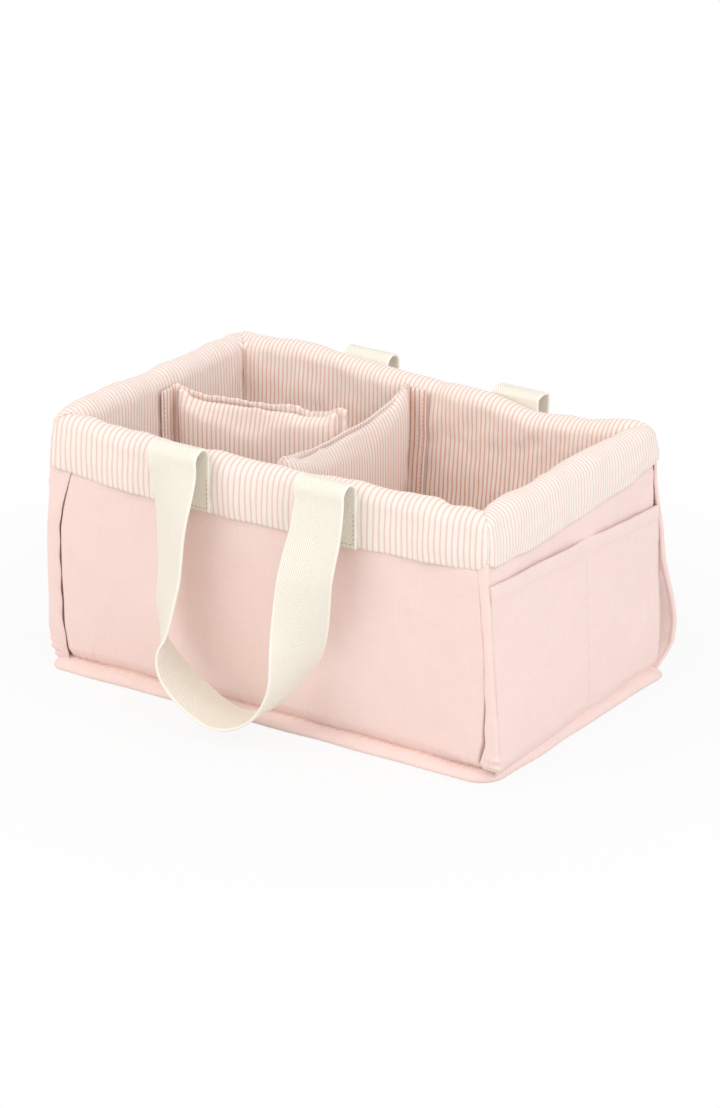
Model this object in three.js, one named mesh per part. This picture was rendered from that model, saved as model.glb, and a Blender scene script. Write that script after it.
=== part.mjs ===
import * as THREE from 'three';

// A padded fabric caddy. Millimetres, +Z up, origin on the floor under the middle, front towards -Y.

// Body, measured on the outer cloth
const bodyLength = 360;
const bodyDepth = 215;
const endFlare = 3;
const sideFlare = 10.5;
const endSwell = 7;
const rimHeight = 197;
const wallThickness = 20;
const outerCornerRadius = 12;
const innerCornerRadius = 4;
const sideBulge = 3;
const liningBulge = 1.5;
const foamHeadroom = 1;
const foamRollStop = Math.PI * 0.42;

// The soft rim stands a little higher or lower than rimHeight at each corner
const rimRiseFrontLeft = -2;
const rimRiseFrontRight = 6;
const rimRiseBackRight = 0;
const rimRiseBackLeft = -1;
const rimSagBack = 6;
const rimRiseStart = 120;

// Soft swells and dips of the rim on top of that: the middle of each as a share of the length and of the
// depth, its height, and its reach along X and along Y. They start at the hem of the cuff.
const rimSwells = [
  { right: 0, back: 0.08, height: 8.5, reachX: 42, reachY: 110 },
  { right: 0, back: 1, height: 2, reachX: 35, reachY: 35 },
  { right: 0.21, back: 1, height: 6.5, reachX: 60, reachY: 40 },
  { right: 0.51, back: 1, height: 2.5, reachX: 45, reachY: 40 },
  { right: 0.85, back: 1, height: -6, reachX: 32, reachY: 40 },
];

// Share of a wall from its middle that is straight, before the corner starts
const straightShare = 0.9;

// Cloth and the gaps between touching pieces
const clothThickness = 1.2;
const gap = 0.3;

// Cuff: the lining turned down over the rim, with a doubled hem
const cuffThickness = 2.4;
const cuffStandOff = 0.6;
const cuffHeight = 42;
const cuffCornerLift = 9;

// Foot: the base cloth with its sewn flange, the board and the padding on it. The flange is soft, so
// its reach past the body's length and depth differs at the corners: back right, back left, front left
// and front right.
const flangeCorners = [
  { reach: [15, 9.5], radius: 9 },
  { reach: [15, 9.5], radius: 9 },
  { reach: [10, 12], radius: 9 },
  { reach: [7, 8], radius: 24 },
];
const flangeRootHeight = 6.5;
const flangeEdgeHeight = 3;
const flangeEdgeBevel = 1.5;
const flangeInsideWidth = 0.8;
const baseClothThickness = 1.5;
const boardThickness = 3;
const basePadThickness = 5;

// Corner welts: the padded seam at each corner. They start and end this many degrees round the corner
// from the end wall. Up to weltFullHeight their tips stand out in full, past the end wall and past the long
// wall, and from there up to the cuff less and less. The one at the back right has come loose into a bow.
const weltFrom = 12;
const weltTo = 65;
const weltEdge = 1.5;
const weltFullHeight = 50;
const weltHeadroom = 2;
const weltTips = {
  back_right: [4.8, 16.6],
  back_left: [4.8, 6.8],
  front_left: [4.8, 6.8],
  front_right: [4.8, 6.8],
};

// Pockets on the end panels, split in two by an upright seam
const pocketMouthFront = 151;
const pocketMouthBack = 132;
const pocketSeamOffset = 15;
const pocketGape = 7;

// Handles. Left and right are the caddy's own, so they swap round on the back handle, which is sewn on
// a little lower and wider apart. Spacing is from the middle of one end to the middle of the other.
const webbingWidth = 40;
const webbingThickness = 2;
const handleFoldRadius = 8;
const handleFoldRise = 1;
const handleDrop = 183;
const tabHemInset = 2;
const loopSwing = 10;
const handles = [
  { side: 'front', turn: 0, spacing: 122, shift: 0, lowering: 0, hands: ['left', 'right'] },
  { side: 'back', turn: Math.PI, spacing: 130, shift: 4.5, lowering: 11, hands: ['right', 'left'] },
];

// Route of the hanging loop: place between the two ends (-1 and 1), share of loopSwing out from the wall,
// share of handleDrop, and how far the width of the webbing has turned from +X towards the front, in degrees
const loopRoute = [
  [-1, 0, 0, 0],
  [-1, 0, 0.04, 0],
  [-1.01, 0, 0.12, 10],
  [-1.03, 0.05, 0.262, 26],
  [-1.05, 0.25, 0.475, 34],
  [-1.11, 0.6, 0.667, 46],
  [-1.11, 0.7, 0.754, 60],
  [-0.96, 0.75, 0.854, 80],
  [-0.64, 0.7, 0.949, 88],
  [-0.26, 0.7, 1, 90],
  [0.11, 0.7, 0.977, 91],
  [0.41, 0.75, 0.897, 92],
  [0.62, 0.7, 0.786, 100],
  [0.74, 0.65, 0.663, 125],
  [0.805, 0.7, 0.545, 153],
  [0.85, 0.8, 0.442, 172],
  [0.89, 0.85, 0.348, 182],
  [0.935, 0.65, 0.251, 185],
  [0.98, 0.3, 0.15, 183],
  [1, 0, 0.04, 180],
  [1, 0, 0, 180],
];
const loopSteps = 48;

// Dividers: two soft panels that stand between the linings
const crossDividerBackX = -14;
const crossDividerFrontX = -1;
const lengthDividerLeftY = 3;
const lengthDividerRightY = 13;
const dividerThickness = 15;
const dividerSeamDepth = 1.35;
const dividerRimDrop = 2;
const dividerTopSag = 6;
const dividerSquareness = 6;
const dividerFullness = 0.6;
const flapReach = 15;
const flapHeadroom = 9;
const flapFootroom = 20;
const stripThickness = 0.8;
const stripMargin = 2;
const crossStripFootroom = 45;
const crossStripHeadroom = 45;

// Sizes that follow from the ones above
const rollInset = (wallThickness - cuffThickness - cuffStandOff) / 2;
const rollRadius = (wallThickness + cuffThickness + cuffStandOff) / 2;
const rollCentreZ = rimHeight - rollRadius;
const hemZ = rimHeight - cuffHeight;
const flareHeight = hemZ;
const boardBottom = baseClothThickness + gap;
const padBottom = boardBottom + boardThickness + gap;
const floorLiningBottom = padBottom + basePadThickness + gap;
const floorTop = floorLiningBottom + clothThickness;
const foamOuterInset = clothThickness + gap;
const foamInnerInset = wallThickness - clothThickness - gap;
const foamRollInset = (foamOuterInset + foamInnerInset) / 2;
const foamRollRadius = (foamInnerInset - foamOuterInset) / 2;
const foamRollCentreZ = rollCentreZ - foamHeadroom;
const cuffFaceInset = -(cuffStandOff + cuffThickness);

const pinkCotton = { color: 0xedc6bb, roughness: 0.9, metalness: 0 };
const stripedCotton = { color: 0xf6e3dc, roughness: 0.9, metalness: 0 };
const creamWebbing = { color: 0xf4ead6, roughness: 0.85, metalness: 0 };
const whiteFoam = { color: 0xf2f0ea, roughness: 0.95, metalness: 0 };
const greyBoard = { color: 0xb9b2a6, roughness: 0.8, metalness: 0 };
const hookTape = { color: 0xefe4da, roughness: 0.95, metalness: 0 };

const caddy = new THREE.Group();

function addPiece(name, geometry, finish) {
  const mesh = new THREE.Mesh(geometry, new THREE.MeshStandardMaterial(finish));
  mesh.name = name;
  caddy.add(mesh);
  return mesh;
}

function clampToUnit(value) {
  return Math.min(1, Math.max(0, value));
}

function range(from, to, steps) {
  return Array.from({ length: steps + 1 }, (_, i) => from + ((to - from) * i) / steps);
}

// Closes a list of points and triangles, and turns the faces outwards
function closedGeometry(points, triangles) {
  let volume = 0;
  const cross = new THREE.Vector3();
  for (const [a, b, c] of triangles) {
    cross.crossVectors(points[b], points[c]);
    volume += points[a].dot(cross);
  }
  const outward = volume > 0 ? triangles : triangles.map(([a, b, c]) => [a, c, b]);
  const geometry = new THREE.BufferGeometry();
  geometry.setFromPoints(points);
  geometry.setIndex(outward.flat());
  geometry.computeVertexNormals();
  return geometry;
}

// A sheet or slab: two facing grids of points, joined round their border
function slab(columns, rows, frontPoint, backPoint) {
  const points = [];
  const triangles = [];
  const lastColumn = columns.length - 1;
  const lastRow = rows.length - 1;
  for (const point of [frontPoint, backPoint]) {
    for (const u of columns) {
      for (const v of rows) points.push(point(u, v));
    }
  }
  const at = (side, i, j) => (side * columns.length + i) * rows.length + j;
  const addQuad = (a, b, c, d) => triangles.push([a, b, c], [a, c, d]);
  for (let i = 0; i < lastColumn; i++) {
    for (let j = 0; j < lastRow; j++) {
      addQuad(at(0, i, j), at(0, i + 1, j), at(0, i + 1, j + 1), at(0, i, j + 1));
      addQuad(at(1, i, j), at(1, i, j + 1), at(1, i + 1, j + 1), at(1, i + 1, j));
    }
  }
  for (let i = 0; i < lastColumn; i++) {
    addQuad(at(0, i, 0), at(1, i, 0), at(1, i + 1, 0), at(0, i + 1, 0));
    addQuad(at(0, i, lastRow), at(0, i + 1, lastRow), at(1, i + 1, lastRow), at(1, i, lastRow));
  }
  for (let j = 0; j < lastRow; j++) {
    addQuad(at(0, 0, j), at(0, 0, j + 1), at(1, 0, j + 1), at(1, 0, j));
    addQuad(at(0, lastColumn, j), at(1, lastColumn, j), at(1, lastColumn, j + 1), at(0, lastColumn, j + 1));
  }
  return closedGeometry(points, triangles);
}

// A stack of closed rings, capped at both ends
function ringStack(rings) {
  const points = rings.flat();
  const triangles = [];
  const count = rings[0].length;
  for (let r = 0; r < rings.length - 1; r++) {
    for (let i = 0; i < count; i++) {
      const next = (i + 1) % count;
      const low = r * count;
      const high = low + count;
      triangles.push([low + i, low + next, high + next], [low + i, high + next, high + i]);
    }
  }
  const last = (rings.length - 1) * count;
  for (let i = 1; i < count - 1; i++) {
    triangles.push([0, i + 1, i], [last, last + i, last + i + 1]);
  }
  return closedGeometry(points, triangles);
}

// Plan of the body at height z, taken in from the outer cloth by inset

function flareAt(z) {
  return clampToUnit(z / flareHeight);
}

// The ends also swell outwards towards the foot, the outer cloth most and the lining not at all
function halfLength(z, inset) {
  const swell = endSwell * (1 - flareAt(z)) * (1 - clampToUnit(inset / wallThickness));
  return bodyLength / 2 + endFlare * flareAt(z) + swell - inset;
}

function halfDepth(z, inset) {
  return bodyDepth / 2 + sideFlare * flareAt(z) - inset;
}

function cornerRadius(inset) {
  const shrink = (outerCornerRadius - innerCornerRadius) / wallThickness;
  return Math.max(1, outerCornerRadius - shrink * inset);
}

// Rings go round by way of back right, back left, front left and front right
const cornerSigns = [[1, 1], [-1, 1], [-1, -1], [1, -1]];

function roundedRing(z, corners) {
  const quarterTurn = Math.PI / 2;
  return corners.flatMap(({ halfX, halfY, radius }, quarter) => {
    const [signX, signY] = cornerSigns[quarter];
    return range(quarter * quarterTurn, (quarter + 1) * quarterTurn, 4).map((turn) => {
      const x = signX * (halfX - radius) + radius * Math.cos(turn);
      return new THREE.Vector3(x, signY * (halfY - radius) + radius * Math.sin(turn), z);
    });
  });
}

function planRing(z, inset) {
  const corner = { halfX: halfLength(z, inset), halfY: halfDepth(z, inset), radius: cornerRadius(inset) };
  return roundedRing(z, cornerSigns.map(() => corner));
}

function flangeRing(z, inset) {
  return roundedRing(z, flangeCorners.map(({ reach, radius }) => ({
    halfX: bodyLength / 2 + reach[0] - inset,
    halfY: bodyDepth / 2 + reach[1] - inset,
    radius,
  })));
}

function rimRiseAt(x, y) {
  const right = clampToUnit(0.5 + x / bodyLength);
  const back = clampToUnit(0.5 + y / bodyDepth);
  const frontRise = THREE.MathUtils.lerp(rimRiseFrontLeft, rimRiseFrontRight, right);
  const backRise = THREE.MathUtils.lerp(rimRiseBackLeft, rimRiseBackRight, right);
  const sag = rimSagBack * Math.sin(Math.PI * right) * back;
  return THREE.MathUtils.lerp(frontRise, backRise, back) - sag;
}

function rimSwellAt(x, y) {
  return rimSwells.reduce((sum, { right, back, height, reachX, reachY }) => {
    const awayX = (x - (right - 0.5) * bodyLength) / reachX;
    const awayY = (y - (back - 0.5) * bodyDepth) / reachY;
    return sum + height * Math.exp(-awayX * awayX - awayY * awayY);
  }, 0);
}

// Walls: each one is the strip of the plan from one mitred corner to the next. Along runs to the right
// as seen from outside, out points away from the body.

const longWall = {
  halfOut: halfDepth,
  halfAlong: halfLength,
  outerBulge: sideBulge,
  innerBulge: liningBulge,
};
const endWall = { halfOut: halfLength, halfAlong: halfDepth, outerBulge: 0, innerBulge: 0 };
const walls = {
  front: { ...longWall, turn: 0 },
  right: { ...endWall, turn: Math.PI / 2 },
  back: { ...longWall, turn: Math.PI },
  left: { ...endWall, turn: -Math.PI / 2 },
};

// Station 0 is the middle of a wall, straightShare the end of its straight part, 1 the mitre
const wallStations = [
  ...range(-1, -straightShare, 2),
  ...range(-straightShare, straightShare, 8).slice(1, -1),
  ...range(straightShare, 1, 2),
];

function toBody(wall, along, out, z) {
  const point = new THREE.Vector3(along, -out, z);
  point.applyAxisAngle(new THREE.Vector3(0, 0, 1), wall.turn);
  return point;
}

function bulgeAt(wall, station, z, inset) {
  const across = 1 - Math.min(1, (station / straightShare) ** 2);
  const upright = Math.sin(Math.PI * clampToUnit((z - flangeRootHeight) / (hemZ - flangeRootHeight)));
  if (inset <= foamOuterInset) return wall.outerBulge * across * upright;
  if (inset >= foamInnerInset) return -wall.innerBulge * across * upright;
  return 0;
}

function wallPoint(wall, station, z, inset) {
  const radius = cornerRadius(inset);
  const halfAlong = wall.halfAlong(z, inset);
  const turn = (Math.max(0, Math.abs(station) - straightShare) / (1 - straightShare)) * (Math.PI / 4);
  const straight = Math.min(1, Math.abs(station) / straightShare) * (halfAlong - radius);
  const mitreShift = (gap / Math.SQRT2) / halfAlong;
  const along = Math.sign(station) * (straight + radius * Math.sin(turn)) * (1 - mitreShift);
  const out = wall.halfOut(z, inset) - radius * (1 - Math.cos(turn)) + bulgeAt(wall, station, z, inset);
  const point = toBody(wall, along, out, z);
  const share = clampToUnit((z - rimRiseStart) / (rimHeight - rimRiseStart));
  const swellShare = clampToUnit((z - hemZ) / (rollCentreZ - hemZ));
  point.z += rimRiseAt(point.x, point.y) * share + rimSwellAt(point.x, point.y) * swellShare;
  return point;
}

function hemHeight(station) {
  return hemZ + cuffCornerLift * Math.abs(station) ** 4;
}

// Every layer of a wall has its rows at these heights, so that the layers nest
const panelBottom = flangeRootHeight + gap;
const liningBottom = floorTop + gap;
const wallLevels = range(liningBottom, hemZ, 4);

function levelsBetween(bottom, top) {
  return [bottom, ...wallLevels.filter((z) => z > bottom && z < top), top];
}

function outerPanel(wall) {
  return slab(
    wallStations,
    levelsBetween(panelBottom, rollCentreZ - gap),
    (station, z) => wallPoint(wall, station, z, 0),
    (station, z) => wallPoint(wall, station, z, clothThickness),
  );
}

function wallFoam(wall) {
  const rollTurns = range(0, foamRollStop, 3).slice(1);
  const levels = levelsBetween(padBottom, foamRollCentreZ);
  const rollHeights = rollTurns.map((turn) => foamRollCentreZ + foamRollRadius * Math.sin(turn));
  const foamPoint = (station, z, side) => {
    const aboveCentre = Math.max(0, z - foamRollCentreZ);
    const halfThickness = Math.sqrt(foamRollRadius ** 2 - aboveCentre ** 2);
    return wallPoint(wall, station, z, foamRollInset + side * halfThickness);
  };
  return slab(
    wallStations,
    [...levels, ...rollHeights],
    (station, z) => foamPoint(station, z, -1),
    (station, z) => foamPoint(station, z, 1),
  );
}

// Rows 0 to 1 climb the inside, 1 to 2 roll over the rim, 2 to 3 come down to the hem
function liningPoint(wall, station, row, hidden) {
  const cuffShare = clampToUnit(row - 1);
  const thickness = hidden ? THREE.MathUtils.lerp(clothThickness, cuffThickness, cuffShare) : 0;
  if (row < 1) {
    const z = THREE.MathUtils.lerp(liningBottom, rollCentreZ, row);
    return wallPoint(wall, station, z, wallThickness - thickness);
  }
  if (row > 2) {
    const z = THREE.MathUtils.lerp(rollCentreZ, hemHeight(station), row - 2);
    return wallPoint(wall, station, z, cuffFaceInset + thickness);
  }
  const turn = Math.PI * (row - 1);
  const radius = rollRadius - thickness;
  return wallPoint(wall, station, rollCentreZ + radius * Math.sin(turn), rollInset + radius * Math.cos(turn));
}

function lining(wall) {
  const climb = wallLevels.map((z) => (z - liningBottom) / (rollCentreZ - liningBottom));
  const rows = [...climb, ...range(1, 2, 6), 2.5, 3];
  return slab(
    wallStations,
    rows,
    (station, row) => liningPoint(wall, station, row, false),
    (station, row) => liningPoint(wall, station, row, true),
  );
}

for (const [side, wall] of Object.entries(walls)) {
  addPiece(`${side}_outer_panel`, outerPanel(wall), pinkCotton);
  addPiece(`${side}_wall_foam`, wallFoam(wall), whiteFoam);
  addPiece(`${side}_lining`, lining(wall), stripedCotton);
}

// Corner welts, from the foot to the hem of the cuff. On its inside each wraps round the corner of the
// panels, and on its outside it rises to a tip. Places are measured from the middle of the corner's round.

function cornerWelt([signX, signY], [tipX, tipY]) {
  const radius = cornerRadius(0);
  const from = THREE.MathUtils.degToRad(weltFrom);
  const to = THREE.MathUtils.degToRad(weltTo);
  const turnAt = (across) => THREE.MathUtils.lerp(from, to, across);
  const around = (turn, rho) => new THREE.Vector2(rho * Math.cos(turn), rho * Math.sin(turn));
  const place = (offset, z) => new THREE.Vector3(
    signX * (halfLength(z, 0) - radius + offset.x),
    signY * (halfDepth(z, 0) - radius + offset.y),
    z,
  );
  const tip = new THREE.Vector2(radius + tipX, radius + tipY);
  tip.sub(around(turnAt(0.5), radius + gap + weltEdge));
  const outerPoint = (across, z) => {
    const upright = 1 - clampToUnit((z - weltFullHeight) / (hemZ - weltFullHeight));
    const sharp = 1 - Math.abs(2 * across - 1);
    const offset = around(turnAt(across), radius + gap + weltEdge).addScaledVector(tip, upright * sharp);
    return place(offset, z);
  };
  return slab(
    range(0, 1, 8),
    levelsBetween(panelBottom, hemHeight(straightShare) - weltHeadroom),
    outerPoint,
    (across, z) => place(around(turnAt(across), radius + gap), z),
  );
}

Object.entries(weltTips).forEach(([corner, tip], i) => {
  addPiece(`${corner}_corner_welt`, cornerWelt(cornerSigns[i], tip), pinkCotton);
});

// Pockets: column -1 is the front edge, 0 the upright seam and 1 the back edge; backSign is the way
// along the wall that leads to the back of the caddy

function pocketPoint(wall, backSign, column, height, proud) {
  const reach = Math.abs(column);
  const halfWidth = (z) => wall.halfAlong(z, 0) - cornerRadius(0);
  const alongAt = (z) => THREE.MathUtils.lerp(pocketSeamOffset, Math.sign(column) * halfWidth(z), reach);
  const toBack = clampToUnit(0.5 + alongAt(hemZ) / (2 * halfWidth(hemZ)));
  const mouth = THREE.MathUtils.lerp(pocketMouthFront, pocketMouthBack, toBack);
  const z = THREE.MathUtils.lerp(panelBottom, mouth, height);
  const gapeAcross = 1 - (2 * reach - 1) ** 4;
  const gapeUp = 1 - (1 - height) ** 3;
  const out = wall.halfOut(z, 0) + gap + pocketGape * gapeAcross * gapeUp + proud;
  return toBody(wall, backSign * alongAt(z), out, z);
}

function pocket(wall, backSign) {
  return slab(
    range(-1, 1, 12),
    range(0, 1, 5),
    (column, height) => pocketPoint(wall, backSign, column, height, clothThickness),
    (column, height) => pocketPoint(wall, backSign, column, height, 0),
  );
}

addPiece('right_pocket', pocket(walls.right, 1), pinkCotton);
addPiece('left_pocket', pocket(walls.left, -1), pinkCotton);

// Foot and floor, one sheet on another

function flatSheet(bottom, thickness, inset) {
  return ringStack([planRing(bottom, inset), planRing(bottom + thickness, inset)]);
}

const baseRings = [
  flangeRing(0, flangeEdgeBevel),
  flangeRing(flangeEdgeBevel, 0),
  flangeRing(flangeEdgeHeight, 0),
  planRing(flangeRootHeight, -flangeInsideWidth),
  planRing(flangeRootHeight, flangeInsideWidth),
  planRing(baseClothThickness, flangeInsideWidth),
];
addPiece('base_outer_panel', ringStack(baseRings), pinkCotton);
addPiece('base_board', flatSheet(boardBottom, boardThickness, flangeInsideWidth + gap), greyBoard);
const paddingInset = foamInnerInset + liningBulge + gap;
addPiece('base_padding', flatSheet(padBottom, basePadThickness, paddingInset), whiteFoam);
const floorInset = wallThickness - clothThickness;
addPiece('floor_lining', flatSheet(floorLiningBottom, clothThickness, floorInset), stripedCotton);

// Handles. Distances out are from the middle plane of the body to the middle of the webbing, and the
// webbing turns over at height top.

const tabOut = halfDepth(flareHeight, cuffFaceInset) + gap + webbingThickness / 2;
const tabBottom = hemZ + tabHemInset;
const handleTop = rimHeight + handleFoldRise;
const loopOut = tabOut + 2 * handleFoldRadius;

function handlePoint(x, out, z) {
  return new THREE.Vector3(x, -out, z);
}

function handleTab(x, top) {
  const edge = webbingWidth / 2;
  const face = webbingThickness / 2;
  return slab(
    [x - edge, x + edge],
    [tabBottom, top],
    (u, z) => handlePoint(u, tabOut + face, z),
    (u, z) => handlePoint(u, tabOut - face, z),
  );
}

function handleFold(x, top) {
  const edge = webbingWidth / 2;
  const face = webbingThickness / 2;
  const centreOut = tabOut + handleFoldRadius;
  const arcPoint = (u, turn, radius) =>
    handlePoint(u, centreOut - radius * Math.cos(turn), top + gap + radius * Math.sin(turn));
  return slab(
    [x - edge, x + edge],
    range(0, Math.PI, 8),
    (u, turn) => arcPoint(u, turn, handleFoldRadius + face),
    (u, turn) => arcPoint(u, turn, handleFoldRadius - face),
  );
}

function handleLoop(x, top, spacing) {
  const route = new THREE.CatmullRomCurve3(
    loopRoute.map(([place, out, drop]) =>
      handlePoint(x + (place * spacing) / 2, loopOut + out * loopSwing, top - drop * handleDrop)),
  );
  const turns = new THREE.CatmullRomCurve3(
    loopRoute.map(([, , , turn]) => new THREE.Vector3(THREE.MathUtils.degToRad(turn), 0, 0)),
  );
  const webbingFrame = (along) => {
    const centre = route.getPoint(along);
    const tangent = route.getTangent(along);
    const turn = turns.getPoint(along).x;
    const width = new THREE.Vector3(Math.cos(turn), -Math.sin(turn), 0);
    width.addScaledVector(tangent, -width.dot(tangent)).normalize();
    const normal = new THREE.Vector3().crossVectors(tangent, width);
    return { centre, width, normal };
  };
  const ribbonPoint = (edge, along, face) => {
    const { centre, width, normal } = webbingFrame(along);
    return centre.addScaledVector(width, edge).addScaledVector(normal, face);
  };
  return slab(
    range(-webbingWidth / 2, webbingWidth / 2, 1),
    range(0, 1, loopSteps),
    (edge, along) => ribbonPoint(edge, along, webbingThickness / 2),
    (edge, along) => ribbonPoint(edge, along, -webbingThickness / 2),
  );
}

for (const { side, turn, spacing, shift, lowering, hands } of handles) {
  const top = handleTop - lowering;
  hands.forEach((hand, i) => {
    const x = shift + (i - 0.5) * spacing;
    addPiece(`${side}_${hand}_handle_tab`, handleTab(x, top), creamWebbing).rotation.z = turn;
    addPiece(`${side}_${hand}_handle_fold`, handleFold(x, top), creamWebbing).rotation.z = turn;
  });
  addPiece(`${side}_handle_loop`, handleLoop(shift, top, spacing), creamWebbing).rotation.z = turn;
}

// Dividers. Each stands on the floor lining between two seats, and a flap across each end grips a strip
// on the seat. A seat gives a point by its distance sideways from the divider, its height and its
// distance off the face of the seat.

const flapStack = stripThickness * 2 + gap * 3;
const dividerEndInset = flapStack + clothThickness + gap;
const dividerBottom = floorTop + gap;
const dividerTop = rimHeight - dividerRimDrop;
const dividerHalf = dividerThickness / 2;
const seatLength = halfLength(hemZ, wallThickness);
const seatDepth = halfDepth(hemZ, wallThickness);

function liningFace(wall, z) {
  return wall.halfOut(z, wallThickness) + bulgeAt(wall, 0, z, wallThickness);
}

const crossStart = new THREE.Vector2(crossDividerBackX, seatDepth);
const crossEnd = new THREE.Vector2(crossDividerFrontX, -seatDepth);
const crossAlong = crossEnd.clone().sub(crossStart).normalize();
const crossLeftward = new THREE.Vector2(crossAlong.y, -crossAlong.x);

// Middle of the cross divider's left face, where the lengthwise divider meets it
const meetingShare = (seatDepth - lengthDividerRightY) / (2 * seatDepth);
const crossFace = crossStart.clone().lerp(crossEnd, meetingShare);
crossFace.addScaledVector(crossLeftward, dividerHalf + clothThickness + gap / 2 - dividerSeamDepth);

const seats = {
  back: (sideways, z, off) => [crossDividerBackX + sideways, liningFace(walls.back, z) - off, z],
  front: (sideways, z, off) => [crossDividerFrontX + sideways, off - liningFace(walls.front, z), z],
  left: (sideways, z, off) => [off - liningFace(walls.left, z), lengthDividerLeftY - sideways, z],
  cross: (sideways, z, off) => {
    const place = crossFace.clone().addScaledVector(crossAlong, sideways).addScaledVector(crossLeftward, off);
    return [place.x, place.y, z];
  },
};

function seatSheet(seat, from, to, bottom, top, near, thickness) {
  const point = (sideways, z, off) => new THREE.Vector3(...seat(sideways, z, off));
  return slab(
    [from, to],
    levelsBetween(bottom, top),
    (sideways, z) => point(sideways, z, near + thickness),
    (sideways, z) => point(sideways, z, near),
  );
}

function addFlap(name, stripName, seat, bottom, top) {
  const flap = seatSheet(seat, -dividerSeamDepth, flapReach, bottom, top, flapStack, clothThickness);
  const strip = (off) => seatSheet(
    seat,
    stripMargin,
    flapReach - stripMargin,
    bottom + stripMargin,
    top - stripMargin,
    off,
    stripThickness,
  );
  addPiece(`${name}_flap`, flap, stripedCotton);
  addPiece(`${name}_hook_strip`, strip(stripThickness + 2 * gap), hookTape);
  addPiece(stripName, strip(gap), hookTape);
}

function swellProfile(share) {
  return (1 - Math.abs(2 * share - 1) ** dividerSquareness) ** dividerFullness;
}

function dividerSwell(along, height) {
  return (dividerHalf - dividerSeamDepth) * swellProfile(along) * swellProfile(height);
}

function dividerPoint(divider, along, height, depth) {
  const sag = dividerTopSag * Math.sin(Math.PI * along);
  const z = THREE.MathUtils.lerp(dividerBottom, dividerTop - sag, height);
  const whole = divider.start.distanceTo(divider.end);
  const from = dividerEndInset + divider.startLean(z);
  const to = whole - dividerEndInset - divider.endLean(z);
  const place = divider.start.clone().lerp(divider.end, THREE.MathUtils.lerp(from, to, along) / whole);
  place.addScaledVector(divider.sideways, depth);
  return new THREE.Vector3(place.x, place.y, z);
}

// Closer together near the edges, where the panel rounds off
const swellStations = [0, 0.03, 0.1, 0.22, 0.36, 0.5, 0.64, 0.78, 0.9, 0.97, 1];

function dividerCover(divider, side) {
  const coverPoint = (along, height, layer) =>
    dividerPoint(divider, along, height, side * (gap / 2 + layer + dividerSwell(along, height)));
  return slab(
    swellStations,
    swellStations,
    (along, height) => coverPoint(along, height, clothThickness),
    (along, height) => coverPoint(along, height, 0),
  );
}

function dividerFoam(divider) {
  const inner = swellStations.slice(1, -1);
  const foamPoint = (along, height, side) =>
    dividerPoint(divider, along, height, side * (dividerSwell(along, height) - gap / 2));
  return slab(
    inner,
    inner,
    (along, height) => foamPoint(along, height, 1),
    (along, height) => foamPoint(along, height, -1),
  );
}

const crossDivider = {
  start: crossStart,
  end: crossEnd,
  sideways: crossLeftward.clone().negate(),
  startLean: (z) => seatDepth - liningFace(walls.back, z),
  endLean: (z) => seatDepth - liningFace(walls.front, z),
};
const lengthStart = new THREE.Vector2(-seatLength, lengthDividerLeftY);
const lengthAlong = crossFace.clone().sub(lengthStart).normalize();
const lengthDivider = {
  start: lengthStart,
  end: crossFace,
  sideways: new THREE.Vector2(lengthAlong.y, -lengthAlong.x),
  startLean: (z) => seatLength - liningFace(walls.left, z),
  endLean: () => 0,
};

addPiece('cross_divider_right_cover', dividerCover(crossDivider, 1), stripedCotton);
addPiece('cross_divider_left_cover', dividerCover(crossDivider, -1), stripedCotton);
addPiece('cross_divider_foam', dividerFoam(crossDivider), whiteFoam);
addPiece('lengthwise_divider_front_cover', dividerCover(lengthDivider, 1), stripedCotton);
addPiece('lengthwise_divider_back_cover', dividerCover(lengthDivider, -1), stripedCotton);
addPiece('lengthwise_divider_foam', dividerFoam(lengthDivider), whiteFoam);

const flapBottom = dividerBottom + flapFootroom;
const flapTop = dividerTop - flapHeadroom;
addFlap('cross_divider_back', 'back_lining_loop_strip', seats.back, flapBottom, flapTop);
addFlap('cross_divider_front', 'front_lining_loop_strip', seats.front, flapBottom, flapTop);
addFlap('lengthwise_divider_left', 'left_lining_loop_strip', seats.left, flapBottom, flapTop);
const crossStripBottom = dividerBottom + crossStripFootroom;
const crossStripTop = dividerTop - crossStripHeadroom;
addFlap('lengthwise_divider_right', 'cross_divider_loop_strip', seats.cross, crossStripBottom, crossStripTop);

export default caddy;
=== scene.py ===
# Padded fabric caddy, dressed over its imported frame.
# Lengths in the dictionaries are millimetres, angles are degrees. The scene itself is in metres.
import bmesh
import bpy
import math
import numpy as np
from mathutils import Matrix, Vector


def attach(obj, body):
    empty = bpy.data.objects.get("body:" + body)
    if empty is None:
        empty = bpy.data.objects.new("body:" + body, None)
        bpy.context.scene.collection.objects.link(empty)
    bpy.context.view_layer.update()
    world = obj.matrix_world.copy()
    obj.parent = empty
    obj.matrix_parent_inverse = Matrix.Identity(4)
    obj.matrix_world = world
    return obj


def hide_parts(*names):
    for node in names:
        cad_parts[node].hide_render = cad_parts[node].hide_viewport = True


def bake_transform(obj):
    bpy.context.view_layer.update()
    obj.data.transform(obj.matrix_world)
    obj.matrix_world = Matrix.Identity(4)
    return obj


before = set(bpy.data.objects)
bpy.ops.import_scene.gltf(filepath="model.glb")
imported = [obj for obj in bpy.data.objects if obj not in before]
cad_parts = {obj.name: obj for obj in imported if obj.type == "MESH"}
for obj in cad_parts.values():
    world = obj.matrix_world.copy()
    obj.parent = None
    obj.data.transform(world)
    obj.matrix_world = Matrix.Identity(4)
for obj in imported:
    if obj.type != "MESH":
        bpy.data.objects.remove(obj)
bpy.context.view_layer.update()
print("frame loaded with", len(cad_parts), "nodes")

mm = 0.001
scene = bpy.context.scene


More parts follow.
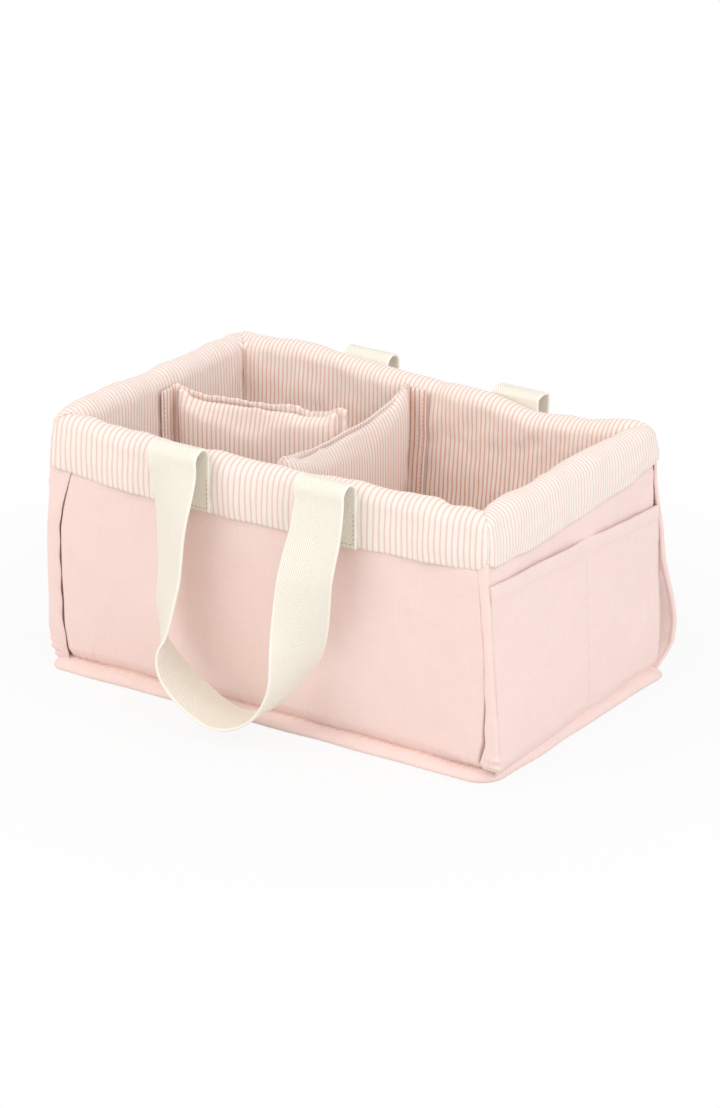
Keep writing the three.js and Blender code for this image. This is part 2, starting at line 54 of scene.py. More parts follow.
def hexColour(code):
    # sRGB hex to the linear values that the sockets take
    channels = [int(code[i:i + 2], 16) / 255 for i in (0, 2, 4)]
    linear = [c / 12.92 if c <= 0.04045 else ((c + 0.055) / 1.055) ** 2.4 for c in channels]
    return (*linear, 1)


def addNode(tree, kind, inputs=None, **settings):
    node = tree.nodes.new("ShaderNode" + kind)
    for name, value in settings.items():
        setattr(node, name, value)
    for socket, value in (inputs or {}).items():
        if isinstance(value, bpy.types.NodeSocket):
            tree.links.new(value, node.inputs[socket])
        else:
            node.inputs[socket].default_value = value
    return node


# Camera
photoView = {
    "turn": 32.9,             # round from the front towards the right end
    "tilt": 22.8,             # above level
    "distance": 2930,
    "middleRight": 4,         # the middle of the view, from the frame's origin
    "middleUp": 85,
    "focalShare": 3.610,      # focal length over the picture's height
    "sensor": 36,
}


def addCamera(view):
    turn = math.radians(view["turn"])
    tilt = math.radians(view["tilt"])
    back = Vector((math.sin(turn) * math.cos(tilt), -math.cos(turn) * math.cos(tilt), math.sin(tilt)))
    right = Vector((math.cos(turn), math.sin(turn), 0))
    up = back.cross(right)
    place = back * view["distance"] + right * view["middleRight"] + up * view["middleUp"]
    lens = bpy.data.cameras.new("camera")
    lens.sensor_fit = "VERTICAL"
    lens.sensor_height = view["sensor"]
    lens.lens = view["sensor"] * view["focalShare"]
    camera = bpy.data.objects.new("camera", lens)
    scene.collection.objects.link(camera)
    camera.matrix_world = Matrix.Translation(place * mm) @ Matrix((right, up, back)).transposed().to_4x4()
    scene.camera = camera


addCamera(photoView)
print("camera set")

# Floor, daylight and lamps
studio = {
    "floorSize": 14000,
    "paper": "e6e5e4",
    "paperGlow": 0.88,            # share of the paper that the camera sees as plain white
    "daylight": "fffdfb",
    "daylightStrength": 0.79,
    "whiteFrom": 200,             # from the caddy's middle. The paper turns plain white from here on
    "whiteTo": 560,
    "backdropStrength": 1.0,
}
lamps = [
    {"name": "key_lamp", "size": 2100, "power": 22.6, "place": (-900, -1900, 1900), "colour": "fffaf5"},
    {"name": "fill_lamp", "size": 1800, "power": 18.5, "place": (2000, -500, 1500), "colour": "f1fbff"},
]


def paperFloor(style):
    # Paper: matt and even. The camera sees it nearly white, and the caddy's shadow stays on it.
    material = bpy.data.materials.new("white_paper_floor")
    material.use_nodes = True
    tree = material.node_tree
    shader = tree.nodes["Principled BSDF"]
    shader.inputs["Base Color"].default_value = hexColour(style["paper"])
    shader.inputs["Roughness"].default_value = 0.95
    shader.inputs["Specular IOR Level"].default_value = 0.1
    seen = addNode(tree, "LightPath").outputs["Is Camera Ray"]
    place = addNode(tree, "TexCoord").outputs["Object"]
    away = addNode(tree, "VectorMath", {0: place}, operation="LENGTH").outputs["Value"]
    glow = addNode(tree, "MapRange", {
        "Value": away, "From Min": style["whiteFrom"] * mm, "From Max": style["whiteTo"] * mm,
        "To Min": style["paperGlow"], "To Max": 1.0,
    }, interpolation_type="SMOOTHSTEP").outputs["Result"]
    share = addNode(tree, "Math", {0: seen, 1: glow}, operation="MULTIPLY")
    white = addNode(tree, "Emission", {"Strength": 1.0})
    mix = addNode(tree, "MixShader", {0: share.outputs[0], 1: shader.outputs[0], 2: white.outputs[0]})
    tree.links.new(mix.outputs[0], tree.nodes["Material Output"].inputs["Surface"])
    mesh = bpy.data.meshes.new("floor")
    half = style["floorSize"] / 2 * mm
    corners = [(-half, -half, 0), (half, -half, 0), (half, half, 0), (-half, half, 0)]
    mesh.from_pydata(corners, [], [(0, 1, 2, 3)])
    mesh.materials.append(material)
    floor = bpy.data.objects.new("floor", mesh)
    scene.collection.objects.link(floor)


def daylightWorld(style):
    world = bpy.data.worlds.new("daylight")
    world.use_nodes = True
    tree = world.node_tree
    tree.nodes.clear()
    seen = addNode(tree, "LightPath").outputs["Is Camera Ray"]
    light = addNode(tree, "Background", {
        "Color": hexColour(style["daylight"]),
        "Strength": style["daylightStrength"],
    })
    backdrop = addNode(tree, "Background", {
        "Color": hexColour("ffffff"),
        "Strength": style["backdropStrength"],
    })
    mix = addNode(tree, "MixShader", {0: seen, 1: light.outputs[0], 2: backdrop.outputs[0]})
    addNode(tree, "OutputWorld", {"Surface": mix.outputs[0]})
    scene.world = world


def addLamp(lamp):
    data = bpy.data.lights.new(lamp["name"], "AREA")
    data.size = lamp["size"] * mm
    data.energy = lamp["power"]
    data.color = hexColour(lamp["colour"])[:3]
    item = bpy.data.objects.new(lamp["name"], data)
    item.location = Vector(lamp["place"]) * mm
    item.rotation_euler = (-item.location).to_track_quat("-Z", "Y").to_euler()
    scene.collection.objects.link(item)


paperFloor(studio)
daylightWorld(studio)
for lamp in lamps:
    addLamp(lamp)
scene.view_settings.view_transform = "Standard"
print("floor and light set")

# Materials. The cloth map holds each point's place on the flat fabric, in metres.
plainCotton = {
    "colour": "f8dfd9",
    "slubColour": "f3d6ce",
    "slubShare": 0.6,
    "slubLength": 26,
    "slubWidth": 1.5,
    "threadPitch": 0.9,       # real threads lie 0.4 mm apart, drawn coarser so that they show
    "threadDepth": 0.12,
    "crumple": 16,
    "crumpleDepth": 0.8,
    "roughness": 0.9,
    "sheen": 0.25,
}
stripedCotton = {
    "colour": "f9eee7",
    "lineColour": "dd9e86",
    "linePitch": 3.9,
    "lineShare": 0.32,
    "lineSoftness": 0.24,
    "shadedLowLines": 1.1,          # strength of the lines low down inside, raised as painted shade
    "litCuffLines": 0.5,         # and where it comes over the rim and down outside, lowered as painted light on the lit cuff
    "paintedShadeToLightFrom": 70,         # along the cloth from the floor
    "paintedShadeToLightTo": 215,
    "wear": 0.72,             # what is left of a line at its faintest
    "wearSize": 1.5,
    "threadPitch": 0.9,
    "threadDepth": 0.12,
    "crumple": 13,
    "crumpleDepth": 0.5,
    "roughness": 0.88,
    "sheen": 0.25,
}
herringboneWebbing = {
    "colour": "fefcf5",
    "twillColour": "ede5d3",
    "columnWidth": 20,
    "twillSlope": 1.5,
    "twillPitch": 2.9,        # along the webbing. Real ribs are 2 mm apart, drawn coarser so that they show
    "twillDepth": 0.35,
    "selvedge": 1.6,
    "selvedgeShare": 0.6,
    "fuzz": 1.3,
    "fuzzShare": 0.75,
    "roughness": 0.85,
    "sheen": 0.35,
}
sewingThread = {"twist": 0.6, "twistShade": 0.86, "roughness": 0.6, "sheen": 0.2}
nylonTape = {
    "colour": "d8cbc0", "pileColour": "f3e9df", "pile": 1.2, "pileDepth": 0.4, "roughness": 0.95, "sheen": 0.4,
}
pressedBoard = {"colour": "a59e92", "fibreColour": "c8c1b4", "fibre": 4, "roughness": 0.85, "sheen": 0}
everyMaterial = {"Specular IOR Level": 0.25, "Sheen Roughness": 0.5}


def startMaterial(name, style):
    material = bpy.data.materials.new(name)
    material.use_nodes = True
    shader = material.node_tree.nodes["Principled BSDF"]
    sockets = {"Roughness": style["roughness"], "Sheen Weight": style["sheen"], **everyMaterial}
    for socket, value in sockets.items():
        shader.inputs[socket].default_value = value
    return material, material.node_tree


def finishMaterial(material, share, colours, reliefs=()):
    # the colour goes from the first to the second with share. Reliefs are height, strength and depth in mm,
    # each on top of the one before.
    tree = material.node_tree
    shader = tree.nodes["Principled BSDF"]
    mixed = addNode(tree, "Mix", {0: share, 6: colours[0], 7: colours[1]}, data_type="RGBA")
    tree.links.new(mixed.outputs[2], shader.inputs["Base Color"])
    for height, strength, depth in reliefs:
        bump = addNode(tree, "Bump", {"Height": height, "Strength": strength, "Distance": depth * mm})
        if shader.inputs["Normal"].is_linked:
            tree.links.new(shader.inputs["Normal"].links[0].from_socket, bump.inputs["Normal"])
        tree.links.new(bump.outputs["Normal"], shader.inputs["Normal"])
    return material


def bands(pitch):
    # the wave node's scale that repeats every so many millimetres of cloth
    return math.pi / 10 / (pitch * mm)


def cottonReliefs(tree, cloth, style):
    # plain weave from two crossed waves, one per set of threads, and the soft unevenness of washed cotton
    warp, weft = [
        addNode(tree, "TexWave", {"Vector": cloth, "Scale": bands(style["threadPitch"])}, bands_direction=way)
        for way in "XY"
    ]
    weave = addNode(tree, "Math", {0: warp.outputs["Fac"], 1: weft.outputs["Fac"]}, operation="MULTIPLY")
    crumple = addNode(tree, "TexNoise", {
        "Vector": cloth, "Scale": 1 / (style["crumple"] * mm), "Detail": 3.0,
    }).outputs["Fac"]
    return [(weave.outputs[0], 0.5, style["threadDepth"]), (crumple, 0.35, style["crumpleDepth"])]


def makePlainCotton(style):
    # Cotton, plain woven and piece dyed: matt, with faint darker slubs along and across the threads
    material, tree = startMaterial("dyed_plain_weave_cotton", style)
    cloth = addNode(tree, "UVMap", uv_map="cloth").outputs["UV"]
    slubs = []
    for size in ((style["slubWidth"], style["slubLength"]), (style["slubLength"], style["slubWidth"])):
        scale = (1 / (size[0] * mm), 1 / (size[1] * mm), 1)
        stretched = addNode(tree, "Mapping", {"Vector": cloth, "Scale": scale}).outputs["Vector"]
        slubs.append(addNode(tree, "TexNoise", {"Vector": stretched, "Scale": 1, "Detail": 2}).outputs["Fac"])
    both = addNode(tree, "Math", {0: slubs[0], 1: slubs[1]}, operation="MULTIPLY").outputs[0]
    share = addNode(tree, "MapRange", {
        "Value": both, "From Min": 0.18, "From Max": 0.46, "To Max": style["slubShare"],
    }).outputs["Result"]
    colours = hexColour(style["colour"]), hexColour(style["slubColour"])
    return finishMaterial(material, share, colours, cottonReliefs(tree, cloth, style))


def makeStripedCotton(style):
    # Cotton, woven with dyed warp threads: soft-edged thin stripes on off-white, matt. The lines' strength also
    # carries painted shade low inside and painted light on the cuff.
    material, tree = startMaterial("yarn_dyed_striped_cotton", style)
    cloth = addNode(tree, "UVMap", uv_map="cloth").outputs["UV"]
    wave = addNode(tree, "TexWave", {"Vector": cloth, "Scale": bands(style["linePitch"])}, bands_direction="X")
    edge = 0.5 + 0.5 * math.cos(math.pi * style["lineShare"])
    share = addNode(tree, "MapRange", {
        "Value": wave.outputs["Fac"],
        "From Min": edge - style["lineSoftness"], "From Max": edge + style["lineSoftness"],
    }, interpolation_type="SMOOTHSTEP").outputs["Result"]
    grain = addNode(tree, "TexNoise", {
        "Vector": cloth, "Scale": 1 / (style["wearSize"] * mm), "Detail": 2.0,
    }).outputs["Fac"]
    upward = addNode(tree, "SeparateXYZ", {0: cloth}).outputs[1]
    # the lines fade at random with the grain, then by height along the cloth: painted shade keeps them strong
    # low inside, and painted light makes them paler on the cuff
    for value, low, high, atLow, atHigh in (
        (grain, 0.3, 0.7, style["wear"], 1),
        (upward, style["paintedShadeToLightFrom"] * mm, style["paintedShadeToLightTo"] * mm, style["shadedLowLines"], style["litCuffLines"]),
    ):
        faded = addNode(tree, "MapRange", {
            "Value": value, "From Min": low, "From Max": high, "To Min": atLow, "To Max": atHigh,
        }).outputs["Result"]
        share = addNode(tree, "Math", {0: share, 1: faded}, operation="MULTIPLY").outputs[0]
    colours = hexColour(style["colour"]), hexColour(style["lineColour"])
    return finishMaterial(material, share, colours, cottonReliefs(tree, cloth, style))


def makeWebbing(style):
    # Cotton webbing, herringbone woven: slanting ribs that turn back at each column, soft and slightly furry
    material, tree = startMaterial("herringbone_cotton_webbing", style)
    cloth = addNode(tree, "UVMap", uv_map="cloth").outputs["UV"]
    across, along = addNode(tree, "SeparateXYZ", {0: cloth}).outputs[:2]
    column = style["columnWidth"] * mm
    slant = across
    for operation, value in (("PINGPONG", column), ("MULTIPLY", style["twillSlope"]), ("ADD", along)):
        slant = addNode(tree, "Math", {0: slant, 1: value}, operation=operation).outputs[0]
    slanted = addNode(tree, "CombineXYZ", {0: slant}).outputs[0]
    ribs = addNode(tree, "TexWave", {
        "Vector": slanted, "Scale": bands(style["twillPitch"]),
    }, bands_direction="X")
    fuzz = addNode(tree, "TexNoise", {"Vector": cloth, "Scale": 1 / (style["fuzz"] * mm), "Detail": 3.0})
    soft = addNode(tree, "MapRange", {
        "Value": fuzz.outputs["Fac"], "From Min": 0.3, "From Max": 0.7, "To Min": style["fuzzShare"],
    }).outputs["Result"]
    woven = addNode(tree, "Math", {0: ribs.outputs["Fac"], 1: soft}, operation="MULTIPLY").outputs[0]
    share = across
    inEdge = (style["columnWidth"] - style["selvedge"]) * mm
    for operation, value in (
        ("SUBTRACT", column), ("ABSOLUTE", 0), ("GREATER_THAN", inEdge), ("MULTIPLY", style["selvedgeShare"]),
        ("MAXIMUM", woven),
    ):
        share = addNode(tree, "Math", {0: share, 1: value}, operation=operation).outputs[0]
    colours = hexColour(style["twillColour"]), hexColour(style["colour"])
    return finishMaterial(material, share, colours, [(share, 0.7, style["twillDepth"])])


def makeThread(name, code, style=sewingThread):
    # Spun polyester sewing thread: a faint shine along each stitch, with its twist showing as light and dark
    material, tree = startMaterial(name, style)
    place = addNode(tree, "TexCoord").outputs["Object"]
    twist = addNode(tree, "TexNoise", {"Vector": place, "Scale": 1 / (style["twist"] * mm)}).outputs["Fac"]
    shade = [c * style["twistShade"] for c in hexColour(code)[:3]] + [1]
    return finishMaterial(material, twist, (hexColour(code), shade))


def makeHookTape(style):
    # Nylon hook-and-loop tape: a dense matt pile that reads as fine grain
    material, tree = startMaterial("woven_nylon_hook_tape", style)
    place = addNode(tree, "TexCoord").outputs["Object"]
    pile = addNode(tree, "TexVoronoi", {"Vector": place, "Scale": 1 / (style["pile"] * mm)}).outputs["Distance"]
    colours = hexColour(style["colour"]), hexColour(style["pileColour"])
    return finishMaterial(material, pile, colours, [(pile, 0.6, style["pileDepth"])])


def makeBoard(style):
    # Pressed greyboard: flat and dull, flecked with short fibres
    material, tree = startMaterial("pressed_grey_board", style)
    place = addNode(tree, "TexCoord").outputs["Object"]
    fibres = addNode(tree, "TexNoise", {"Vector": place, "Scale": 1 / (style["fibre"] * mm), "Detail": 6.0})
    colours = hexColour(style["colour"]), hexColour(style["fibreColour"])
    return finishMaterial(material, fibres.outputs["Fac"], colours)


pinkCloth = makePlainCotton(plainCotton)
stripedCloth = makeStripedCotton(stripedCotton)
webbing = makeWebbing(herringboneWebbing)
pinkThread = makeThread("spun_polyester_thread_pink", "e3b7a8")
brownThread = makeThread("spun_polyester_thread_brown", "c2a57e")
paleThread = makeThread("spun_polyester_thread_pale", "f3dccf")
hookTape = makeHookTape(nylonTape)
greyBoard = makeBoard(pressedBoard)
print("materials made")


# Cloth helpers. Grids of points are (rows, columns, 3), and row direction x column direction faces the eye.
def smoothStep(share):
    share = np.clip(share, 0, 1)
    return share * share * (3 - 2 * share)


def bell(distance, width):
    return np.exp(-(distance / width) ** 2)


def softNoise(a, b, wavelength, seed):
    # slow unevenness from a few waves in seeded directions, about -1 to 1
    random = np.random.default_rng(seed)
    total = 0
    for _ in range(7):
        turn, phase = random.uniform(0, 2 * math.pi, 2)
        length = wavelength * random.uniform(0.6, 1.7)
        total = total + np.sin(2 * math.pi * (a * math.cos(turn) + b * math.sin(turn)) / length + phase)
    return total / 3


def unevenness(style, kind, a, b, seed):
    # one kind of a piece's unevenness, with its height and its length from the piece's dictionary
    return style[kind] * softNoise(a, b, style[kind + "Length"], seed)


def swellGrid(grid, amount):
    normals = np.cross(np.gradient(grid, axis=0), np.gradient(grid, axis=1))
    normals /= np.maximum(np.linalg.norm(normals, axis=-1, keepdims=True), 1e-9)
    return grid + normals * np.asarray(amount)[..., None]


def runningLength(points):
    steps = np.linalg.norm(np.diff(points, axis=0), axis=-1)
    return np.concatenate([[0], np.cumsum(steps)])


def smoothRoute(controls, perSpan):
    # a curve through the control rows, paced by the distance between them so that it doesn't overshoot
    controls = np.asarray(controls, float)
    spans = np.maximum(np.linalg.norm(np.diff(controls[:, :3], axis=0), axis=-1), 1e-3) ** 0.5
    knots = np.concatenate([[0], np.cumsum(spans)])
    slopes = np.gradient(controls, knots, axis=0)
    points = []
    for i, span in enumerate(spans):
        for t in np.arange(perSpan) / perSpan:
            ends = (1 + 2 * t) * (1 - t) ** 2 * controls[i] + t * t * (3 - 2 * t) * controls[i + 1]
            leans = t * (1 - t) ** 2 * slopes[i] - t * t * (1 - t) * slopes[i + 1]
            points.append(ends + span * leans)
    points.append(controls[-1])
    return np.array(points)


def gridFaces(rows, columns, start=0, closed=False):
    faces = []
    for i in range(rows - 1):
        for j in range(columns if closed else columns - 1):
            a, b = start + i * columns + j, start + i * columns + (j + 1) % columns
            faces.append((a, a + columns, b + columns, b))
    return faces


def padShape(front, back, cloth):
    # one closed body from a seen grid and a hidden grid: points, faces and places on the flat cloth
    rows, columns = front.shape[:2]
    count = rows * columns
    right = [i * columns + columns - 1 for i in range(rows)]
    left = [i * columns for i in range(rows)][::-1]
    bottom = list(range(count - columns, count))[::-1]
    loop = list(range(columns))[:-1] + right[:-1] + bottom[:-1] + left[:-1]
    faces = gridFaces(rows, columns) + [f[::-1] for f in gridFaces(rows, columns, count)]
    faces += [(a, b, count + b, count + a) for a, b in zip(loop, loop[1:] + loop[:1])]
    points = np.concatenate([front.reshape(-1, 3), back.reshape(-1, 3)])
    return points, faces, np.concatenate([cloth.reshape(-1, 2)] * 2)


def joinShapes(shapes):
    points, faces, cloth, start = [], [], [], 0
    for somePoints, someFaces, someCloth in shapes:
        points.append(somePoints)
        cloth.append(someCloth)
        faces += [tuple(start + i for i in face) for face in someFaces]
        start += len(somePoints)
    return np.concatenate(points), faces, np.concatenate(cloth)


def setCloth(mesh, cloth):
    layer = mesh.uv_layers.get("cloth") or mesh.uv_layers.new(name="cloth")
    corners = np.zeros(len(mesh.loops), int)
    mesh.loops.foreach_get("vertex_index", corners)
    layer.data.foreach_set("uv", (np.asarray(cloth, float)[corners] * mm).ravel())


def addPiece(name, shape, material):
    points, faces, cloth = shape
    mesh = bpy.data.meshes.new(name)
    mesh.from_pydata(np.asarray(points, float) * mm, [], faces)
    setCloth(mesh, cloth)
    facing = bmesh.new()
    facing.from_mesh(mesh)
    if facing.calc_volume(signed=True) < 0:
        bmesh.ops.reverse_faces(facing, faces=facing.faces)
    facing.to_mesh(mesh)
    facing.free()
    mesh.polygons.foreach_set("use_smooth", [True] * len(mesh.polygons))
    mesh.materials.append(material)
    piece = bpy.data.objects.new(name, mesh)
    scene.collection.objects.link(piece)
    return piece


def putOn(bodyName, piece, *nodes):
    # the body that a piece moves with, and the imported nodes that it shows. A piece that is blended over two
    # bodies names none here.
    if bodyName:
        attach(piece, bodyName)
    if nodes:
        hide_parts(*nodes)
    return piece


stitch = {
    "length": 2.4, "step": 3.4, "width": 0.55, "sides": 6,
    "rings": [(0, 0.25), (0.15, 0.8), (0.5, 1), (0.85, 0.8), (1, 0.25)],      # place along it, and size
}


def stitchShape(line, outward, style=stitch):
    # a row of small sewn stitches along a line, each lying on the cloth whose outside is outward
    line = np.asarray(line, float)
    outward = np.broadcast_to(np.asarray(outward, float), line.shape)
    lengths = runningLength(line)
    sides, width = style["sides"], style["width"]
    count = len(style["rings"])
    faces = gridFaces(count, sides, 0, True)
    faces += [tuple(range(sides)), tuple(range((count - 1) * sides, count * sides))[::-1]]
    turns = np.arange(sides) / sides * 2 * math.pi
    shapes = []
    for start in np.arange(style["step"] / 2, lengths[-1] - style["length"], style["step"]):
        ends = [start, start + style["length"]]
        a, b = (np.array([np.interp(e, lengths, line[:, k]) for k in range(3)]) for e in ends)
        up = np.array([np.interp(start, lengths, outward[:, k]) for k in range(3)])
        ahead = (b - a) / max(np.linalg.norm(b - a), 1e-6)
        aside = np.cross(ahead, up)
        aside /= max(np.linalg.norm(aside), 1e-6)
        rise = np.cross(aside, ahead)
        points = []
        for share, size in style["rings"]:
            middle = a + (b - a) * share + rise * width * (size - 1) * 0.4
            points += [middle + (aside * math.cos(t) + rise * math.sin(t)) * width / 2 * size for t in turns]
        points = np.array(points)
        shapes.append((points, faces, points[:, :2]))
    return joinShapes(shapes)


# The sewn body's sizes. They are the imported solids', apart from tighter corners and a rim that is a little
# lower at the back, as the photograph shows it.
body = {
    "length": 360,
    "depth": 215,
    "endFlare": 3,
    "sideFlare": 10.5,
    "endSwell": 7,
    "rim": 197,
    "wall": 20,
    "outerRadius": 7,
    "innerRadius": 4,
    "hem": 155,
    "hemCornerLift": 9,
    "cuffOut": 3,
    "rollRadius": 11.5,
    "riseStart": 120,
    "riseFrontLeft": -2,
    "riseFrontRight": 6,
    "riseBackRight": 0,
    "riseBackLeft": -1,
    "sagBack": 6,
    "rimSwells": [            # x, y, height, and reach along x and y
        (-180, -90.3, 8.5, 42, 110), (-180, 107.5, -1, 35, 35), (-104.4, 107.5, 6.5, 60, 40),
        (3.6, 107.5, 2.5, 45, 40), (86, 107.5, -6.5, 24, 40), (126, 107.5, -6, 32, 40),
    ],
    "floorTop": 11.6,
    "foot": 6.8,
}
straightShare = 0.9           # of a wall from its middle to the mitre
bulgeFrom = 6.5               # height where a wall starts to bulge
rollInset = body["wall"] - body["rollRadius"]
rollHeight = body["rim"] - body["rollRadius"]
walls = {"front": 0, "right": 90, "back": 180, "left": -90}


def flareAt(z):
    return np.clip(z / body["hem"], 0, 1)


def halfLength(z, inset):
    swell = body["endSwell"] * (1 - flareAt(z)) * (1 - np.clip(inset / body["wall"], 0, 1))
    return body["length"] / 2 + body["endFlare"] * flareAt(z) + swell - inset


def halfDepth(z, inset):
    return body["depth"] / 2 + body["sideFlare"] * flareAt(z) - inset


def cornerRadius(inset):
    shrink = (body["outerRadius"] - body["innerRadius"]) / body["wall"]
    return np.maximum(1, body["outerRadius"] - shrink * inset)


def rimRise(x, y):
    right = np.clip(0.5 + x / body["length"], 0, 1)
    back = np.clip(0.5 + y / body["depth"], 0, 1)
    front = body["riseFrontLeft"] + (body["riseFrontRight"] - body["riseFrontLeft"]) * right
    rear = body["riseBackLeft"] + (body["riseBackRight"] - body["riseBackLeft"]) * right
    return front + (rear - front) * back - body["sagBack"] * np.sin(math.pi * right) * back


def rimSwell(x, y):
    swell = 0
    for middleX, middleY, height, reachX, reachY in body["rimSwells"]:
        swell = swell + height * np.exp(-((x - middleX) / reachX) ** 2 - ((y - middleY) / reachY) ** 2)
    return swell


def isLong(wall):
    return wall in ("front", "back")


def turned(wall, along, out, z):
    turn = math.radians(walls[wall])
    x = along * math.cos(turn) + out * math.sin(turn)
    y = along * math.sin(turn) - out * math.cos(turn)
    return np.stack(np.broadcast_arrays(x, y, z), -1)


def bulgeShare(z):
    # how much of its bulge a wall has at a height, none at the foot and at the hem
    return np.sin(math.pi * np.clip((z - bulgeFrom) / (body["hem"] - bulgeFrom), 0, 1))


def wallGrid(wall, station, z, inset, bulge=0):
    # points of a wall, and how far along the cloth each lies. Station 1 is the mitre.
    station, z, inset, bulge = np.broadcast_arrays(station, z, inset, bulge)
    radius = cornerRadius(inset)
    halfAlong = (halfLength if isLong(wall) else halfDepth)(z, inset)
    halfOut = (halfDepth if isLong(wall) else halfLength)(z, inset)
    turn = np.maximum(0, np.abs(station) - straightShare) / (1 - straightShare) * math.pi / 4
    straight = np.minimum(1, np.abs(station) / straightShare) * (halfAlong - radius)
    across = 1 - np.minimum(1, (station / straightShare) ** 2)
    out = halfOut - radius * (1 - np.cos(turn)) + bulge * across * bulgeShare(z)
    points = turned(wall, np.sign(station) * (straight + radius * np.sin(turn)), out, z)
    share = np.clip((z - body["riseStart"]) / (body["rim"] - body["riseStart"]), 0, 1)
    swellShare = np.clip((z - body["hem"]) / (rollHeight - body["hem"]), 0, 1)
    x, y = points[..., 0], points[..., 1]
    points[..., 2] += rimRise(x, y) * share + rimSwell(x, y) * swellShare
    return points, np.sign(station) * (straight + radius * turn)


def lowFullness(x, y, z):
    # the foot of the right end stands out a little more, most of all at its back corner
    low = smoothStep((x - 150) / 30) * bell(z - 32, 38)
    return low * (1.2 + 2.3 * smoothStep(y / 100))


def stationsOf(wall):
    straight = np.linspace(-straightShare, straightShare, 150 if isLong(wall) else 90)
    corner = np.linspace(straightShare, 1, 10)[1:]
    return np.concatenate([-corner[::-1], straight, corner])[None, :]


# Corner seams, the padded welts that stand out below the cuff. A row is a height, the tip's place past the
# end wall and past the long wall, and the same for the free edge. A negative place is inside the corner.
cornerSeam = {
    "wave": 0.7,
    "thickness": 3,
    "gather": 0.8,            # small gathers near the foot
    "gatherStep": 7,
    "corners": {
        "front_left": {"signs": (-1, -1), "seed": 5, "rows": [
            (168, 0.3, 0.4, -21, 0.3), (158, 0.5, 0.7, -18, 0.9), (144, 1.4, 1.8, -14, 1.8),
            (130, 2.4, 3.2, -10, 3), (115, 2.9, 4.4, -7.4, 4), (98, 3.4, 5.4, -6.8, 4.9),
            (66, 4.4, 6.2, -6.8, 5.5), (34, 5.2, 6.4, -7.2, 5.8), (18, 4.6, 5.8, -8.5, 5.4),
            (11, 3.2, 4.2, -9, 4), (5.5, 1.5, 2, -8, 2),
        ]},
        "front_right": {"signs": (1, -1), "seed": 7, "rows": [
            (168, 0.6, 1.2, -7.5, 1.5), (150, 1, 1.9, -5.6, 2.4), (130, 1.8, 2.8, -4.6, 3.2),
            (102, 2.6, 3.8, -3.8, 4), (67, 3.4, 5, -4.6, 5.2), (33, 4, 6, -7, 6.2), (24, 5, 6.6, -9.5, 6.8),
            (17, 5.4, 6.6, -11, 6.6), (13, 3.4, 4.6, -10, 4.4), (10.5, 0.4, 0.8, -8, 1),
        ]},
        "back_left": {"signs": (-1, 1), "seed": 13, "rows": [
            (168, 0.3, 0.4, -8, 0.3), (130, 2, 2.4, -6, 2.2), (98, 3.2, 4.2, -5.5, 4), (66, 4.2, 5.4, -6, 5),
            (34, 4.8, 6, -7, 5.6), (18, 4.4, 5.4, -8, 5), (5.5, 1.5, 2, -7, 2),
        ]},
    },
}
# The seam at the back right has come loose into a bow, with a thick rolled edge. A row is a height, the
# place of the roll's middle past the end wall and past the back wall, and its radius.
looseSeam = {
    "signs": (1, 1),
    "thickness": 2,
    "wave": 0.5,
    "seed": 11,
    "rows": [
        (166, -1.6, -1.8, 1.2), (150, -1.2, -1.4, 1.4), (135, 0.2, 0.2, 1.7), (112, 2.3, 3.6, 1.8),
        (86, 3.3, 7.4, 2.2), (59, 4.4, 14.6, 2.3), (38, 4.6, 18.6, 2.3), (23, 4.4, 16.8, 2.2),
        (16, 3.8, 9.4, 2), (10, 2.2, 4, 1.8), (6, 1, 1.5, 1.5),
    ],
}


def panelStations(wall):
    # closer together near the corners, where a panel sinks beside the seam
    middle = np.linspace(0, 0.77, 50 if isLong(wall) else 32)
    near = np.linspace(0.77, straightShare, 40)[1:]
    corner = np.linspace(straightShare, 1, 14)[1:]
    half = np.concatenate([middle, near, corner])
    return np.concatenate([-half[:0:-1], half])[None, :]


def creaseOf(wall, side, z):
    # how far from the corner a seam's free edge lies, and how far it stands out from the panel
    corner = f"{wall}_{'right' if (side > 0) == (wall == 'front') else 'left'}"
    if corner not in cornerSeam["corners"]:
        return 9 + 0 * z, 1.5 * smoothStep((150 - z) / 40)
    rows = np.array(cornerSeam["corners"][corner]["rows"])[::-1]
    return -np.interp(z, rows[:, 0], rows[:, 3]), np.interp(z, rows[:, 0], rows[:, 4])


# Outer panels, pink cotton on foam
outerPanel = {
    "bulge": {"front": 3, "back": 3, "left": 0, "right": 0},
    "footTuck": 4.2,
    "footTuckHeight": 15,
    "fullness": 0.62,         # how far a panel swells up beside a corner seam, as a share of that seam
    "fullnessReach": 45,
    "ripple": 0.5,
    "rippleLength": 62,
    "crinkle": 0.22,
    "crinkleLength": 21,
    "pucker": 0.45,           # small gathers where the foot is sewn on
    "puckerStep": 8,
    "puckerDrift": 2.2,
    "puckerDriftLength": 40,
    "calmFoot": 20,           # the unevenness fades out over this height above the foot
    "underCuff": 1.2,         # how far a panel draws in under the cuff
    "underSeam": 1.2,         # and past the free edge of a corner seam, under it
    "hiddenInset": 16,        # of its hidden side, inside the foam
}


def footTuck(style, z):
    # how far cloth rounds in towards its seam at the foot
    return style["footTuck"] * (1 - smoothStep((z - body["foot"] + 2) / style["footTuckHeight"])) ** 1.3


